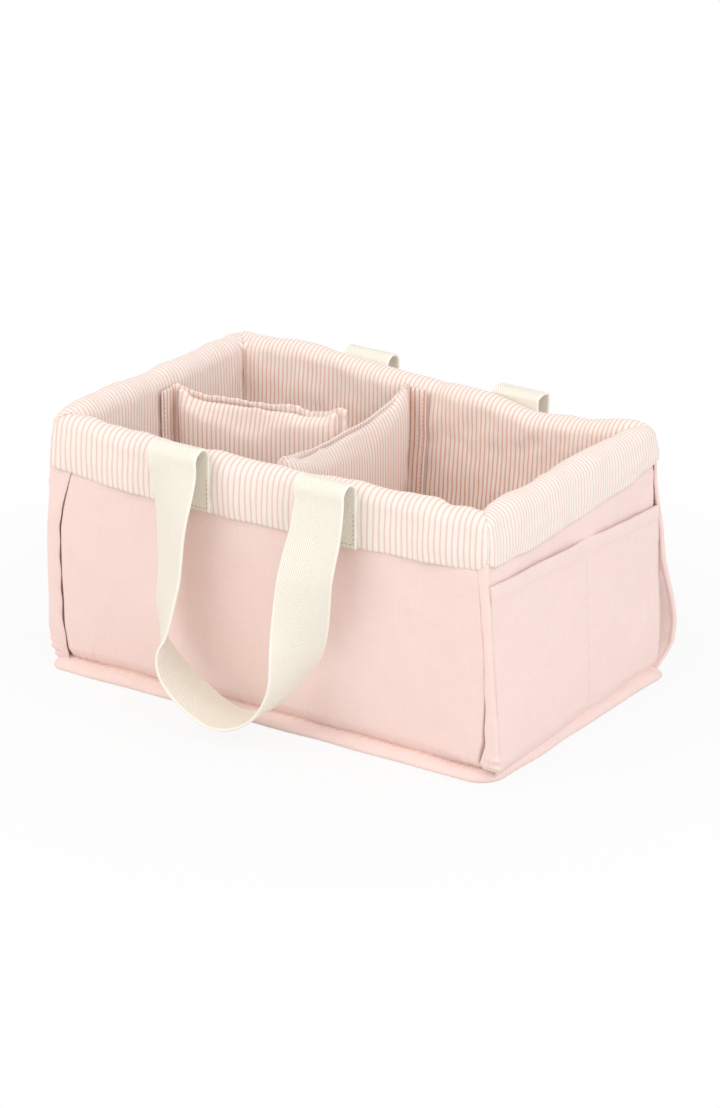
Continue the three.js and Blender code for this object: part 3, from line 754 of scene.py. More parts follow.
def addOuterPanel(wall, seed):
    style = outerPanel
    station = panelStations(wall)
    z = np.concatenate([np.linspace(186, 27, 56), np.linspace(25, body["foot"], 15)])[:, None]
    grid, along = wallGrid(wall, station, z, 0, style["bulge"][wall])
    hidden, _ = wallGrid(wall, station, z, style["hiddenInset"])
    height = np.broadcast_to(z, along.shape)
    swell = unevenness(style, "ripple", along, height * 0.6, seed)
    swell += unevenness(style, "crinkle", along, height, seed + 1)
    swell *= smoothStep((height - body["foot"]) / style["calmFoot"])
    swell -= footTuck(style, height)
    if isLong(wall):
        for side in (-1, 1):
            crease, standing = creaseOf(wall, side, height)
            away = halfLength(height, 0) - crease - side * along
            beside = smoothStep((away + 0.6) / 1.8) * (1 - smoothStep((away - 8) / style["fullnessReach"]))
            swell += style["fullness"] * standing * beside - style["underSeam"] * smoothStep(-away / 2)
    swell += lowFullness(grid[..., 0], grid[..., 1], height)
    drift = unevenness(style, "puckerDrift", along, 0, seed + 2)
    gathers = np.sin(2 * math.pi * along / style["puckerStep"] + drift)
    swell += style["pucker"] * gathers * bell(height - body["foot"] - 6, 7)
    swell -= style["underCuff"] * smoothStep((height - body["hem"] - 1) / 6)
    shape = padShape(swellGrid(grid, swell), hidden, np.stack([along, -height], -1))
    piece = addPiece(wall + "_padded_panel", shape, pinkCloth)
    putOn("caddy", piece, wall + "_outer_panel", wall + "_wall_foam")


for seed, wall in enumerate(walls):
    addOuterPanel(wall, 10 * seed + 3)
print("outer panels made")

# Lining, striped cotton: up the inside, over the rim, down outside as the cuff, with a doubled hem
liningCloth = {
    "bulge": -1.5,
    "thickness": 1.2,
    "hemThickness": 2.4,
    "softness": 0.75,
    "softnessLength": 58,
    "crinkle": 0.35,
    "crinkleLength": 19,
    "stretch": {"front": 1.17, "right": 0.93, "back": 0.95, "left": 0.9},      # of the cloth, along the wall
    "mitreDepth": 1.8,
    "mitreWidth": 4.5,
    "pinch": {"right": (1, 4), "back": (-1, 4), "left": (1, 3.5), "front": (-1, 3.5)},      # side and depth
    "pinchWidth": 13,
    "hemLift": 7,             # of the right and the back cuff, at the corner where they meet
    "cuffFullness": 1.1,
    "hemWave": 0.6,
    "hemWaveLength": 45,
    "rimDents": {             # place along the wall, depth and width
        "front": [(147, 3.2, 7), (20, 1.6, 12), (-70, 1.2, 14)], "back": [(-6, 2.4, 9), (100, 1.2, 16)],
    },
}


def addLining(wall, seed):
    style = liningCloth
    station = stationsOf(wall)
    climb = np.linspace(body["floorTop"] + 0.6, rollHeight, 60)[:-1, None]
    turns = np.linspace(0, math.pi, 22)[:, None]
    down = np.linspace(0, 1, 22)[1:, None]

    def overRim(*parts):
        # a value for every point: up the inside, over the rim, down the cuff
        rows = (len(climb), len(turns), len(down))
        return np.concatenate([np.broadcast_to(p, (r, station.shape[1])) for p, r in zip(parts, rows)])

    _, rimAlong = wallGrid(wall, station, body["hem"], 0)
    hem = body["hem"] + body["hemCornerLift"] * np.abs(station) ** 4
    hem = hem + unevenness(style, "hemWave", rimAlong, 0, seed + 5)
    if wall == "right":
        hem = hem + style["hemLift"] * np.clip(0.5 + station / 2, 0, 1) ** 0.8
    if wall == "back":
        hem = hem + style["hemLift"] * smoothStep((-station - 0.6) / 0.4)
    z = overRim(climb, rollHeight + body["rollRadius"] * np.sin(turns), rollHeight + (hem - rollHeight) * down)
    inset = overRim(body["wall"], rollInset + body["rollRadius"] * np.cos(turns), -body["cuffOut"])
    grid, along = wallGrid(wall, station, z, inset, np.where(inset > 18.5, style["bulge"], 0))
    length = runningLength(grid[:, grid.shape[1] // 2])[:, None] * np.ones_like(station)
    edge = np.abs(along).max(axis=1, keepdims=True) - np.abs(along)
    rolled = overRim(smoothStep((climb - 150) / 35), 1, 1 - down)
    inner = overRim(smoothStep((climb - 160) / 25), np.cos(turns / 2) ** 2, 0)
    outside = overRim(0, np.sin(turns / 2) ** 2, 1 - down)
    cuffShare = overRim(0, 0, down)
    swell = unevenness(style, "softness", along, length, seed) * (0.6 + 0.8 * rolled)
    swell += unevenness(style, "crinkle", along, length, seed + 1)
    swell += style["cuffFullness"] * np.sin(math.pi * cuffShare)
    swell -= style["mitreDepth"] * bell(edge, style["mitreWidth"])
    side, depth = style["pinch"][wall]
    swell -= depth * bell(edge, style["pinchWidth"]) * (np.sign(along) == side) * outside
    for place, depth, width in style["rimDents"].get(wall, []):
        swell -= depth * bell(along - place, width) * inner
    doubled = (style["hemThickness"] - style["thickness"]) * cuffShare
    hidden = swellGrid(grid, swell - style["thickness"] - doubled)
    half = style["hemThickness"] / 2
    toHem = length[-1:] - length
    swell -= half - np.sqrt(np.clip(half ** 2 - np.clip(half - toHem, 0, half) ** 2, 0, None))
    shape = padShape(swellGrid(grid, swell), hidden, np.stack([along / style["stretch"][wall], length], -1))
    piece = addPiece(wall + "_lining_and_cuff", shape, stripedCloth)
    putOn("caddy", piece, wall + "_lining")


for seed, wall in enumerate(walls):
    addLining(wall, 10 * seed + 51)
print("linings and cuffs made")

# The seams themselves. Sections are drawn from the corner of the two walls' faces: past the end wall, past
# the long wall. A height's section is the seen side of the seam and, with as many points, its hidden side.
def hiddenPath(count, freeEdge):
    # just under the panels, round the corner from the end wall to below the free edge
    radius = body["outerRadius"] - 0.6
    turns = np.linspace(0, math.pi / 2, 12)
    arc = np.column_stack([np.cos(turns), np.sin(turns)]) * radius - body["outerRadius"]
    path = np.concatenate([[(-0.6, -9)], arc, [(-40, -0.6)]])
    lengths = runningLength(path)
    last = np.interp(-freeEdge, -path[:, 0], lengths)
    steps = np.linspace(0, last, count)
    return np.column_stack([np.interp(steps, lengths, path[:, k]) for k in range(2)])


def foldedSection(row, style):
    tipX, tipY, freeX, freeY = row
    share = np.clip(tipY / 3, 0, 1)
    thick = min(style["thickness"], max(0.5, freeY * 0.6))
    start = np.array([0.25 + 1.15 * share, -0.6 + share])
    controls = [
        (-0.6, -9),
        (0.05, -6),
        (0.25, -1.4),
        start,
        ((start[0] + tipX) / 2 + 0.7 * share, (start[1] + tipY) / 2 - 0.6 * share),
        (tipX, tipY - 1.2 * share),
        (tipX - 1.2 * share - 0.2, tipY),
        ((tipX + freeX) / 2, (tipY + freeY) / 2 + 0.4 * share),
        (freeX + thick * 0.5, freeY),
        (freeX, freeY - thick * 0.5),
        (freeX + thick * 0.6, freeY - thick),
        (freeX + 3.4, min(0.1, freeY - thick)),
    ]
    section = smoothRoute(controls, 4)
    return section, hiddenPath(len(section), freeX + 2)


def rolledSection(row, style):
    middle, radius = row[:2], row[2]
    lean = np.array([0.35, 0.94])
    across = np.array([0.94, -0.35])
    gape = np.clip((middle[1] - 11) / 7, 0, 1)
    hollow = np.array([-1.2 - 5 * gape, 0.62 * middle[1]])
    outer = [(-12, -0.3), (-9 - gape, 0.8 + 0.2 * max(0, middle[1])), hollow - across * style["thickness"]]
    inner = [(-12, -1.2), (-7 - 2 * gape, -1.0 + 0.15 * max(0, middle[1])), hollow]
    for side, degrees in ((outer, (205, 150, 100, 50, 0, -30)), (inner, (262, 275, 290, 305, 318, 328))):
        for turn in np.radians(degrees):
            side.append(middle + (across * math.cos(turn) + lean * math.sin(turn)) * radius)
    return smoothRoute(outer, 4), smoothRoute(inner, 4)


def addCornerSeam(corner, spot, style, sectionOf):
    signs, seed = spot["signs"], spot["seed"]
    rows = np.array(spot["rows"])[::-1]
    heights = np.concatenate([np.linspace(rows[-1, 0], 30, 56), np.linspace(28.5, rows[0, 0], 26)])
    fronts, backs, widths = [], [], []
    for z in heights:
        row = np.array([np.interp(z, rows[:, 0], rows[:, k]) for k in range(1, rows.shape[1])])
        share = np.clip(row[1] / 4, 0, 1)
        row[0] += style["wave"] * 0.6 * softNoise(z, 9, 50, seed + 1) * share
        row[1] += style["wave"] * 0.6 * softNoise(z, 3, 40, seed + 2) * share
        if "gather" in style:
            row[2] += style["wave"] * softNoise(z, 0, 30, seed) * share
            gather = style["gather"] * math.sin(2 * math.pi * z / style["gatherStep"])
            row[:2] += gather * smoothStep((30 - z) / 12) * share * np.array([1, 0.7])
        section, hidden = sectionOf(row, style)
        wall = np.array([halfLength(z, 0), halfDepth(z, 0)])
        full = lowFullness(*(wall * signs), z)
        for kept, flat in ((fronts, section), (backs, hidden)):
            kept.append(np.column_stack([(wall + flat + (full, 0)) * signs, np.full(len(flat), z)]))
        widths.append(runningLength(section))
    front, back = np.array(fronts), np.array(backs)
    shape = padShape(front, back, np.stack([np.array(widths), -front[..., 2]], -1))
    piece = addPiece(corner + "_corner_seam", shape, pinkCloth)
    putOn("caddy", piece, corner + "_corner_welt")
    return front


def sewFoot(corner, signs, seam):
    # a few cramped stitches that close a seam's foot
    outward = np.array([*signs, 0]) / math.sqrt(2)
    rows = [seam[np.abs(seam[:, 0, 2] - z).argmin(), 13:31] + outward * 0.25 for z in (14.5, 16.5, 18.5, 20.5)]
    sewn = joinShapes([stitchShape(row, outward) for row in rows])
    putOn("caddy", addPiece(corner + "_foot_stitches", sewn, paleThread))


for corner, spot in cornerSeam["corners"].items():
    seam = addCornerSeam(corner, spot, cornerSeam, foldedSection)
    if corner == "front_right":
        sewFoot(corner, spot["signs"], seam)
addCornerSeam("back_right", looseSeam, looseSeam, rolledSection)
print("corner seams made")

# Pockets on the ends: a flat sheet sewn down the middle, the foot and both edges
pocketCloth = {
    "mouthFront": 151,
    "mouthBack": 132,
    "mouthWave": 0.5,
    "mouthWaveLength": 40,
    "halfWidth": 110,         # about, for the wave of the mouth
    "seamOffset": 15,
    "gap": 0.3,               # from the panel
    "gape": 1.5,
    "frontEdge": -0.5,        # past the corner of the long wall
    "backEdge": {             # height, and place past the corner
        "left": [(0, -0.5), (160, -0.5)], "right": [(8, 4.5), (60, 5), (90, 3.5), (134, -0.5), (160, -0.5)],
    },
    "thickness": 1.2,
    "hemThickness": 2.2,
    "seamDepth": 0.7,
    "ripple": 0.5,
    "rippleLength": 55,
    "crinkle": 0.2,
    "crinkleLength": 17,
    "footTuck": 3.4,
    "footTuckHeight": 13,
    "pucker": 0.25,           # small gathers along the middle seam
    "puckerStep": 9,
}


def addPocket(wall, backSign, seed):
    style = pocketCloth
    column = np.concatenate([np.linspace(-1, 0, 46), np.linspace(0, 1, 36)[1:]])[None, :]
    steps = (1, 0.93, 8), (0.92, 0.12, 44), (0.11, 0, 12)      # closer together at the mouth and the foot
    height = np.concatenate([np.linspace(*step) for step in steps])[:, None]
    reach = np.abs(column)
    mouth = style["mouthFront"] + (style["mouthBack"] - style["mouthFront"]) * (0.5 + column / 2)
    mouth = mouth + unevenness(style, "mouthWave", column * style["halfWidth"], 0, seed)
    z = body["foot"] + (mouth - body["foot"]) * height
    past = np.where(column < 0, style["frontEdge"], np.interp(z, *np.transpose(style["backEdge"][wall])))
    edgeAt = np.where(column < 0, -1, 1) * (halfDepth(z, 0) + past)
    along = style["seamOffset"] + (edgeAt - style["seamOffset"]) * reach
    gaping = (1 - (2 * reach - 1) ** 4) * height ** 4
    out = halfLength(z, 0) + style["gap"] + style["gape"] * gaping
    if wall == "right":
        out = out + lowFullness(halfLength(z, 0), along, z)
    fromSeam = along - style["seamOffset"]
    swell = unevenness(style, "ripple", along, z, seed + 1)
    swell += unevenness(style, "crinkle", along, z * 1.4, seed + 2)
    swell -= style["seamDepth"] * bell(fromSeam, 2.2)
    swell += style["pucker"] * np.sin(2 * math.pi * z / style["puckerStep"]) * bell(fromSeam, 6)
    tuck = footTuck(style, z)
    hem = smoothStep((height - 0.91) / 0.02)
    thickness = style["thickness"] + (style["hemThickness"] - style["thickness"]) * hem
    place, out = np.broadcast_arrays(backSign * along, out)
    front = turned(wall, place, out + thickness + np.maximum(swell, -0.5) - tuck, z)
    back = turned(wall, place, out - tuck + np.minimum(0, swell), z)
    front[0] = (front[0] + back[0]) / 2 + (front[0] - back[0]) * 0.12
    cloth = np.stack([place, np.broadcast_to(-z, place.shape)], -1)
    if backSign < 0:
        front, back, cloth = front[:, ::-1], back[:, ::-1], cloth[:, ::-1]
    piece = addPiece(wall + "_pocket_cloth", padShape(front, back, cloth), pinkCloth)
    putOn("caddy", piece, wall + "_pocket")
    seam = front[9:-4, np.abs(cloth[0, :, 0] - backSign * style["seamOffset"]).argmin()]
    outward = turned(wall, 0, 1, 0)
    sewn = stitchShape(seam + outward * 0.1, outward)
    putOn("caddy", addPiece(wall + "_pocket_stitches", sewn, paleThread))


addPocket("right", 1, 71)
addPocket("left", -1, 81)
print("pockets made")

# Foot: the base cloth, whose soft flange runs round the body like a flattened tube
footFlange = {
    "reach": {"back_right": (17, 9.5), "back_left": (15, 9.5), "front_left": (10, 12), "front_right": (7, 8)},
    "radius": {"back_right": 9, "back_left": 9, "front_left": 9, "front_right": 22},
    "inside": 7,              # the flange starts this far inside the foot of the panels
    "profile": [
        (0, 7.2), (0.22, 8.1), (0.42, 8.3), (0.58, 7.9), (0.74, 7.0), (0.88, 5.5), (0.97, 3.6), (1, 2.2),
        (0.97, 1.0), (0.88, 0.25), (0.6, 0.1), (0.2, 0.1),
    ],
    "stitchRow": 2,
    "wave": 0.7,
    "waveLength": 48,
    "pucker": 0.35,
    "puckerStep": 7,
    "puckerDrift": 2,
    "puckerDriftLength": 60,
    "lift": 0.5,
    "liftLength": 70,
    "cornerPoints": 14,
    "sidePoints": (150, 90),
}
cornerOrder = [("back_right", 1, 1), ("back_left", -1, 1), ("front_left", -1, -1), ("front_right", 1, -1)]


def roundedPlan(halves, radii, style):
    # closed outline, corner by corner, with the same count of points whatever its size
    arcs = []
    for i, (corner, *signs) in enumerate(cornerOrder):
        turns = math.pi / 2 * (i + np.linspace(0, 1, style["cornerPoints"]))
        quarter = np.column_stack([np.cos(turns), np.sin(turns)])
        arcs.append((np.array(halves[corner]) - radii[corner]) * signs + radii[corner] * quarter)
    plan = []
    for i, arc in enumerate(arcs):
        shares = np.linspace(0, 1, style["sidePoints"][i % 2])[1:-1, None]
        plan += [arc, arc[-1] + (arcs[(i + 1) % 4][0] - arc[-1]) * shares]
    return np.concatenate(plan)


def addFoot(style):
    footZ = body["foot"]
    inner = {c: (halfLength(footZ, style["inside"]), halfDepth(footZ, style["inside"])) for c in style["reach"]}
    outer = {c: (body["length"] / 2 + x, body["depth"] / 2 + y) for c, (x, y) in style["reach"].items()}
    innerPlan = roundedPlan(inner, dict.fromkeys(inner, body["outerRadius"] - 3), style)
    outerPlan = roundedPlan(outer, style["radius"], style)
    outward = (outerPlan - innerPlan) / np.linalg.norm(outerPlan - innerPlan, axis=1, keepdims=True)
    along = runningLength(np.concatenate([outerPlan, outerPlan[:1]]))[:-1]
    reach = style["wave"] * (softNoise(along, 0, style["waveLength"], 91) - 0.6)
    drift = unevenness(style, "puckerDrift", along, 0, 92)
    gathers = style["pucker"] * np.sin(2 * math.pi * along / style["puckerStep"] + drift)
    lift = unevenness(style, "lift", along, 5, 93)
    rings = []
    for share, z in style["profile"]:
        ring = innerPlan + (outerPlan - innerPlan) * share
        ring = ring + outward * (reach * share + gathers * bell(share - 0.7, 0.3))[:, None]
        height = z + (lift + gathers * bell(share - 0.4, 0.25)) * smoothStep((z - 1) / 5)
        rings.append(np.column_stack([ring, np.maximum(height, 0.1)]))
    grid = np.array(rings)
    rows, columns = grid.shape[:2]
    around = runningLength(grid[:, 0])[:, None]
    cloth = np.stack(np.broadcast_arrays(along, around), -1)
    faces = gridFaces(rows, columns, 0, True)
    faces += [tuple(range(columns))[::-1], tuple(range((rows - 1) * columns, rows * columns))]
    piece = addPiece("foot_flange", (grid.reshape(-1, 3), faces, cloth.reshape(-1, 2)), pinkCloth)
    putOn("caddy", piece, "base_outer_panel")
    row = grid[style["stitchRow"]]
    line = np.concatenate([row, row[:1]]) + (0, 0, 0.2)
    putOn("caddy", addPiece("foot_stitches", stitchShape(line, (0, 0, 1)), paleThread))


addFoot(footFlange)
print("foot made")

# Floor lining over its padding, slightly crowned
floorPad = {
    "bottom": 5.2, "crown": 1.6, "crownReach": 22, "edgeDrop": 0.8, "inset": 19.5, "crinkle": 0.25,
    "crinkleLength": 40,
}


def addFloor(style):
    x = np.linspace(-1, 1, 90)[None, :] * halfLength(body["floorTop"], style["inset"])
    y = np.linspace(-1, 1, 56)[:, None] * halfDepth(body["floorTop"], style["inset"])
    x, y = np.broadcast_arrays(x, y)
    edgeX = np.abs(x).max() - np.abs(x)
    edgeY = np.abs(y).max() - np.abs(y)
    crown = style["crown"] * smoothStep(np.minimum(edgeX, edgeY) / style["crownReach"]) - style["edgeDrop"]
    z = body["floorTop"] + crown + unevenness(style, "crinkle", x, y, 31)
    top = np.stack([x, y, z], -1)
    bottom = np.stack([x * 0.995, y * 0.99, np.full_like(x, style["bottom"])], -1)
    piece = addPiece("floor_pad", padShape(top, bottom, np.stack([x, y], -1)), stripedCloth)
    putOn("caddy", piece, "floor_lining", "base_padding")


addFloor(floorPad)
print("floor made")

# Handles, cream herringbone webbing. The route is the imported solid's, a little more turned on the right:
# place between the ends (-1 and 1), share of swing out from the wall, share of drop, and turn of the
# webbing's width.
handle = {
    "width": 40,
    "thickness": 2,
    "foldRadius": 8,          # of each fold, seen along the wall
    "rise": 1,
    "drop": 183,
    "swing": 10,
    "tabBottom": 157,
    "gap": 0.3,
    "cup": 0.6,
    "ripple": 0.35,
    "rippleLength": 46,
    "route": [
        (-1, 0, 0, 0), (-1, 0, 0.04, 0), (-1.01, 0, 0.12, 10), (-1.03, 0.05, 0.262, 26),
        (-1.05, 0.25, 0.475, 34), (-1.11, 0.6, 0.667, 46), (-1.11, 0.7, 0.754, 60), (-0.96, 0.75, 0.854, 80),
        (-0.64, 0.7, 0.949, 88), (-0.26, 0.7, 1, 90), (0.11, 0.7, 0.977, 91), (0.41, 0.75, 0.897, 92),
        (0.62, 0.7, 0.786, 100), (0.74, 0.65, 0.663, 125), (0.805, 0.7, 0.545, 146), (0.85, 0.8, 0.442, 158),
        (0.89, 0.85, 0.348, 166), (0.935, 0.65, 0.251, 172), (0.98, 0.3, 0.15, 177), (1, 0, 0.04, 180),
        (1, 0, 0, 180),
    ],
}
handles = {
    "front": {
        "facing": 1, "spacing": 122, "shift": 0, "lowering": 0, "nodes": ["left", "right"],
        "foldHeights": [8, 8], "endsLength": 114,
    },
    "back": {
        "facing": -1, "spacing": 130, "shift": 4.5, "lowering": 11, "nodes": ["right", "left"],
        "foldHeights": [3, 8], "endsLength": 88,      # the right fold is pressed flatter
    },
}
tabOut = float(halfDepth(body["hem"], -body["cuffOut"])) + handle["gap"] + handle["thickness"] / 2
loopOut = tabOut + 2 * handle["foldRadius"]


def ribbonShape(route, seed):
    # route rows: x, out, z and turn. The webbing has rounded edges and is never quite flat.
    style = handle
    route = np.asarray(route, float)
    middle = np.column_stack([route[:, 0], -route[:, 1], route[:, 2]])
    ahead = np.gradient(middle, axis=0)
    ahead /= np.linalg.norm(ahead, axis=1, keepdims=True)
    turn = np.radians(route[:, 3])
    across = np.column_stack([np.cos(turn), -np.sin(turn), np.zeros(len(turn))])
    across -= ahead * (across * ahead).sum(1, keepdims=True)
    across /= np.linalg.norm(across, axis=1, keepdims=True)
    face = np.cross(ahead, across)
    half, thin = style["width"] / 2, style["thickness"] / 2
    edges = np.concatenate([
        [-half, -half + 0.25, -half + 0.7, -half + 1.4], np.linspace(-half + 3, half - 3, 16),
        [half - 1.4, half - 0.7, half - 0.25, half],
    ])
    rounded = np.sqrt(np.clip(1 - (np.clip(np.abs(edges) - half + 1, 0, 1)) ** 2, 0.03, 1)) * thin
    length = runningLength(middle)[:, None]
    bend = style["cup"] * (edges / half) ** 2 - style["cup"] / 2
    wave = unevenness(style, "ripple", length, edges * 1.5, seed)
    lift = (bend * 0.5 + wave) * (smoothStep(length / 20) * smoothStep((length[-1] - length) / 20))
    sides = [
        middle[:, None] + across[:, None] * edges[:, None] + face[:, None] * (lift + side * rounded)[..., None]
        for side in (1, -1)
    ]
    return padShape(*sides, np.stack(np.broadcast_arrays(edges + half, length), -1))


def facingShape(shape, facing):
    # a back handle is the front one turned half round
    points, faces, cloth = shape
    return points * (facing, facing, 1), faces, cloth


def addHandle(side, seed):
    style, spot = handle, handles[side]
    top = body["rim"] + style["rise"] - spot["lowering"]
    radius = style["foldRadius"]
    crest = top + style["gap"]
    bottom = style["tabBottom"]
    nearFace = -tabOut - style["thickness"] / 2 - 0.1
    ends, folds, stitches = [], [], []
    for i, height in enumerate(spot["foldHeights"]):
        x = spot["shift"] + (i - 0.5) * spot["spacing"]
        rising, falling = [
            [(x, tabOut + radius * (1 - math.cos(t)), crest + height * math.sin(t)) for t in np.radians(turns)]
            for turns in (np.linspace(4, 90, 14), np.linspace(90, 176, 14))
        ]
        tab = [(x, tabOut, z, 0) for z in np.linspace(bottom, top, 18)]
        ends.append(ribbonShape(tab + [(*p, 0) for p in rising], seed + i))
        folds.append(falling)
        for edge in (-18, 18):
            stitches.append([(x + edge, nearFace, z) for z in (bottom + 1, bottom + 26)])
        stitches.append([(x + edge, nearFace, bottom + 3) for edge in (-18, 18)])
    names = {part: f"{side}_handle_{part}" for part in ("ends", "strap", "stitches", "folds", "loop")}
    piece = addPiece(names["ends"], facingShape(joinShapes(ends), spot["facing"]), webbing)
    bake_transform(piece)
    putOn(None, piece, *[f"{side}_{n}_handle_{part}" for n in spot["nodes"] for part in ("tab", "fold")])
    route = smoothRoute([
        (spot["shift"] + p * spot["spacing"] / 2, loopOut + o * style["swing"], top - d * style["drop"], t)
        for p, o, d, t in style["route"]
    ], 7)
    strap = [(*p, 0) for p in folds[0]] + [tuple(r) for r in route] + [(*p, 180) for p in folds[1][::-1]]
    piece = addPiece(names["strap"], facingShape(ribbonShape(strap, seed + 4), spot["facing"]), webbing)
    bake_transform(piece)
    putOn(None, piece, names["loop"])
    sewn = joinShapes([stitchShape(line, (0, -1, 0)) for line in stitches])
    putOn("caddy", addPiece(names["stitches"], facingShape(sewn, spot["facing"]), brownThread))


addHandle("front", 101)
addHandle("back", 111)
print("handles made")

# Dividers, striped cotton over foam, with a ruffled seam round the edge
divider = {
    "thickness": 15,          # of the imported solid
    "seamDepth": 1.35,
    "bottom": 11.9,
    "endInset": 4.0,
    "startThickness": 9,      # before the pressure swells it
    "edgeThickness": 6.8,
    "squareness": 12,
    "rounding": 0.012,        # share by which the cloth is cut larger, since the edges round off
    "fullness": 0.6,
    "voxel": 4.5,
    "cap": 4,                 # how far the pressure may move the cloth
    "frames": 20,
    "quickSwell": 2.6,
    "simulation": {
        "quality": 5, "mass": 0.3, "tension_stiffness": 12, "compression_stiffness": 12,
        "bending_stiffness": 0.4, "use_pressure": True, "uniform_pressure_force": 4,
    },
    "ruffleReach": 2.8,
    "topReach": 2.5,          # how much farther the lengthwise divider reaches above its right flap
    "ruffleStep": 6.5,
    "ruffle": 0.9,
    "ruffleDrift": 1.8,
    "ruffleDriftLength": 40,
    "ruffleSway": 0.8,
    "ruffleSwayLength": 70,
    "ruffleThickness": 1.4,
}
flapStack = 2.5               # from what a flap lies on to its back: two strips and three gaps
crossBack = np.array([-14.0, float(halfDepth(body["hem"], body["wall"]))])
crossFront = np.array([-1.0, -float(halfDepth(body["hem"], body["wall"]))])
crossAlong = (crossFront - crossBack) / np.linalg.norm(crossFront - crossBack)
crossLeft = np.array([crossAlong[1], -crossAlong[0]])
meeting = (crossBack[1] - 13) / (2 * crossBack[1])      # the two dividers meet 13 mm behind the middle
crossHalf = divider["thickness"] / 2 + liningCloth["thickness"] + 0.15
crossFace = crossBack + (crossFront - crossBack) * meeting + crossLeft * (crossHalf - divider["seamDepth"])
lengthLeft = np.array([-float(halfLength(body["hem"], body["wall"])), 3.0])


def wallLean(flare):
    # how far a wall's lining comes in at a height, for a wall that flares out towards the rim
    return lambda z: flare * (1 - flareAt(z)) + 1.5 * np.sin(math.pi * flareAt(z))


dividers = {
    "cross": {
        "start": crossBack, "end": crossFront, "covers": ["right_cover", "left_cover", "foam"],
        "leans": (wallLean(body["sideFlare"]), wallLean(body["sideFlare"])), "seed": 201,
        "topLine": [
            (0, 191), (0.05, 188.8), (0.1, 186.9), (0.2, 184.8), (0.32, 184), (0.4, 184), (0.52, 185.2),
            (0.62, 185.8), (0.77, 188.4), (0.9, 191.5), (1, 194.8),
        ],
        "ruffleAt": [(0, 0.9), (0.12, 0.45), (0.25, 0.15), (0.72, 0.15), (0.85, 0.6), (0.95, 1.1), (1, 1.1)],
    },
    "lengthwise": {
        "start": lengthLeft, "end": crossFace, "covers": ["front_cover", "back_cover", "foam"],
        "leans": (wallLean(body["endFlare"]), lambda z: -divider["topReach"] * smoothStep((z - 156) / 12)),
        "seed": 211,
        "topLine": [
            (0, 188.6), (0.18, 184.6), (0.4, 186.6), (0.6, 187.6), (0.72, 189), (0.8, 187), (0.92, 190.5),
            (1, 194.5),
        ],
        "ruffleAt": [(0, 0.9), (0.2, 0.6), (0.5, 0.75), (0.72, 1.1), (0.8, 0.7), (0.92, 1), (1, 1.3)],
    },
}


def dividerAxes(spot):
    # a divider's length, and its directions along and across
    whole = np.linalg.norm(spot["end"] - spot["start"])
    ahead = (spot["end"] - spot["start"]) / whole
    return whole, ahead, np.array([ahead[1], -ahead[0]])


def dividerPlace(spot, along, height, depth):
    # points of a divider. Along and height go from 0 to 1.
    style = divider
    whole, ahead, sideways = dividerAxes(spot)
    top = np.interp(along, *np.transpose(spot["topLine"]))
    z = style["bottom"] + (top - style["bottom"]) * height
    leans = [lean(z) for lean in spot["leans"]]
    first = style["endInset"] + leans[0]
    last = whole - style["endInset"] - leans[1]
    distance = first + (last - first) * along
    place = spot["start"] + ahead * distance[..., None] - sideways * np.asarray(depth)[..., None]
    return np.concatenate([place, z[..., None]], -1)


def pillowShape(spot, half):
    style = divider
    steps = np.linspace(0, 1, 44)
    along, height = np.meshgrid(steps, steps)
    edge = style["edgeThickness"] / 2
    depth = half - edge
    for share in (along, height):
        depth = depth * np.clip(1 - np.abs(2 * share - 1) ** style["squareness"], 0, 1) ** style["fullness"]
    depth = edge + depth
    taller = height * (1 + style["rounding"])
    longer = 0.5 + (along - 0.5) * (1 + style["rounding"])
    front, back = (dividerPlace(spot, longer, taller, side * depth) for side in (1, -1))
    return padShape(front, back, np.stack([along, height], -1))


def readPoints(mesh):
    points = np.zeros(len(mesh.vertices) * 3)
    mesh.vertices.foreach_get("co", points)
    return points.reshape(-1, 3)


def applyModifiers(piece):
    bpy.context.view_layer.update()
    done = bpy.data.meshes.new_from_object(piece.evaluated_get(bpy.context.evaluated_depsgraph_get()))
    piece.modifiers.clear()
    piece.data = done


def puffUp(piece, style):
    # the recipe for padding: remesh, cloth under pressure, a cap on how far it may go, one subdivision
    remesh = piece.modifiers.new("remesh", "REMESH")
    remesh.mode = "VOXEL"
    remesh.voxel_size = style["voxel"] * mm
    applyModifiers(piece)
    rest = readPoints(piece.data)
    cloth = piece.modifiers.new("cloth", "CLOTH")
    for name, value in style["simulation"].items():
        setattr(cloth.settings, name, value)
    cloth.settings.effector_weights.gravity = 0
    for step in range(style["frames"]):
        scene.frame_set(step + 1)
    puffed = piece.evaluated_get(bpy.context.evaluated_depsgraph_get()).to_mesh()
    moved = readPoints(puffed) - rest
    piece.modifiers.remove(cloth)
    size = np.linalg.norm(moved, axis=1, keepdims=True)
    moved *= np.minimum(1, style["cap"] * mm / np.maximum(size, 1e-9))
    piece.data.vertices.foreach_set("co", (rest + moved).ravel())
    scene.frame_set(1)
    smooth = piece.modifiers.new("subdivision", "SUBSURF")
    smooth.levels = smooth.render_levels = 1
    applyModifiers(piece)


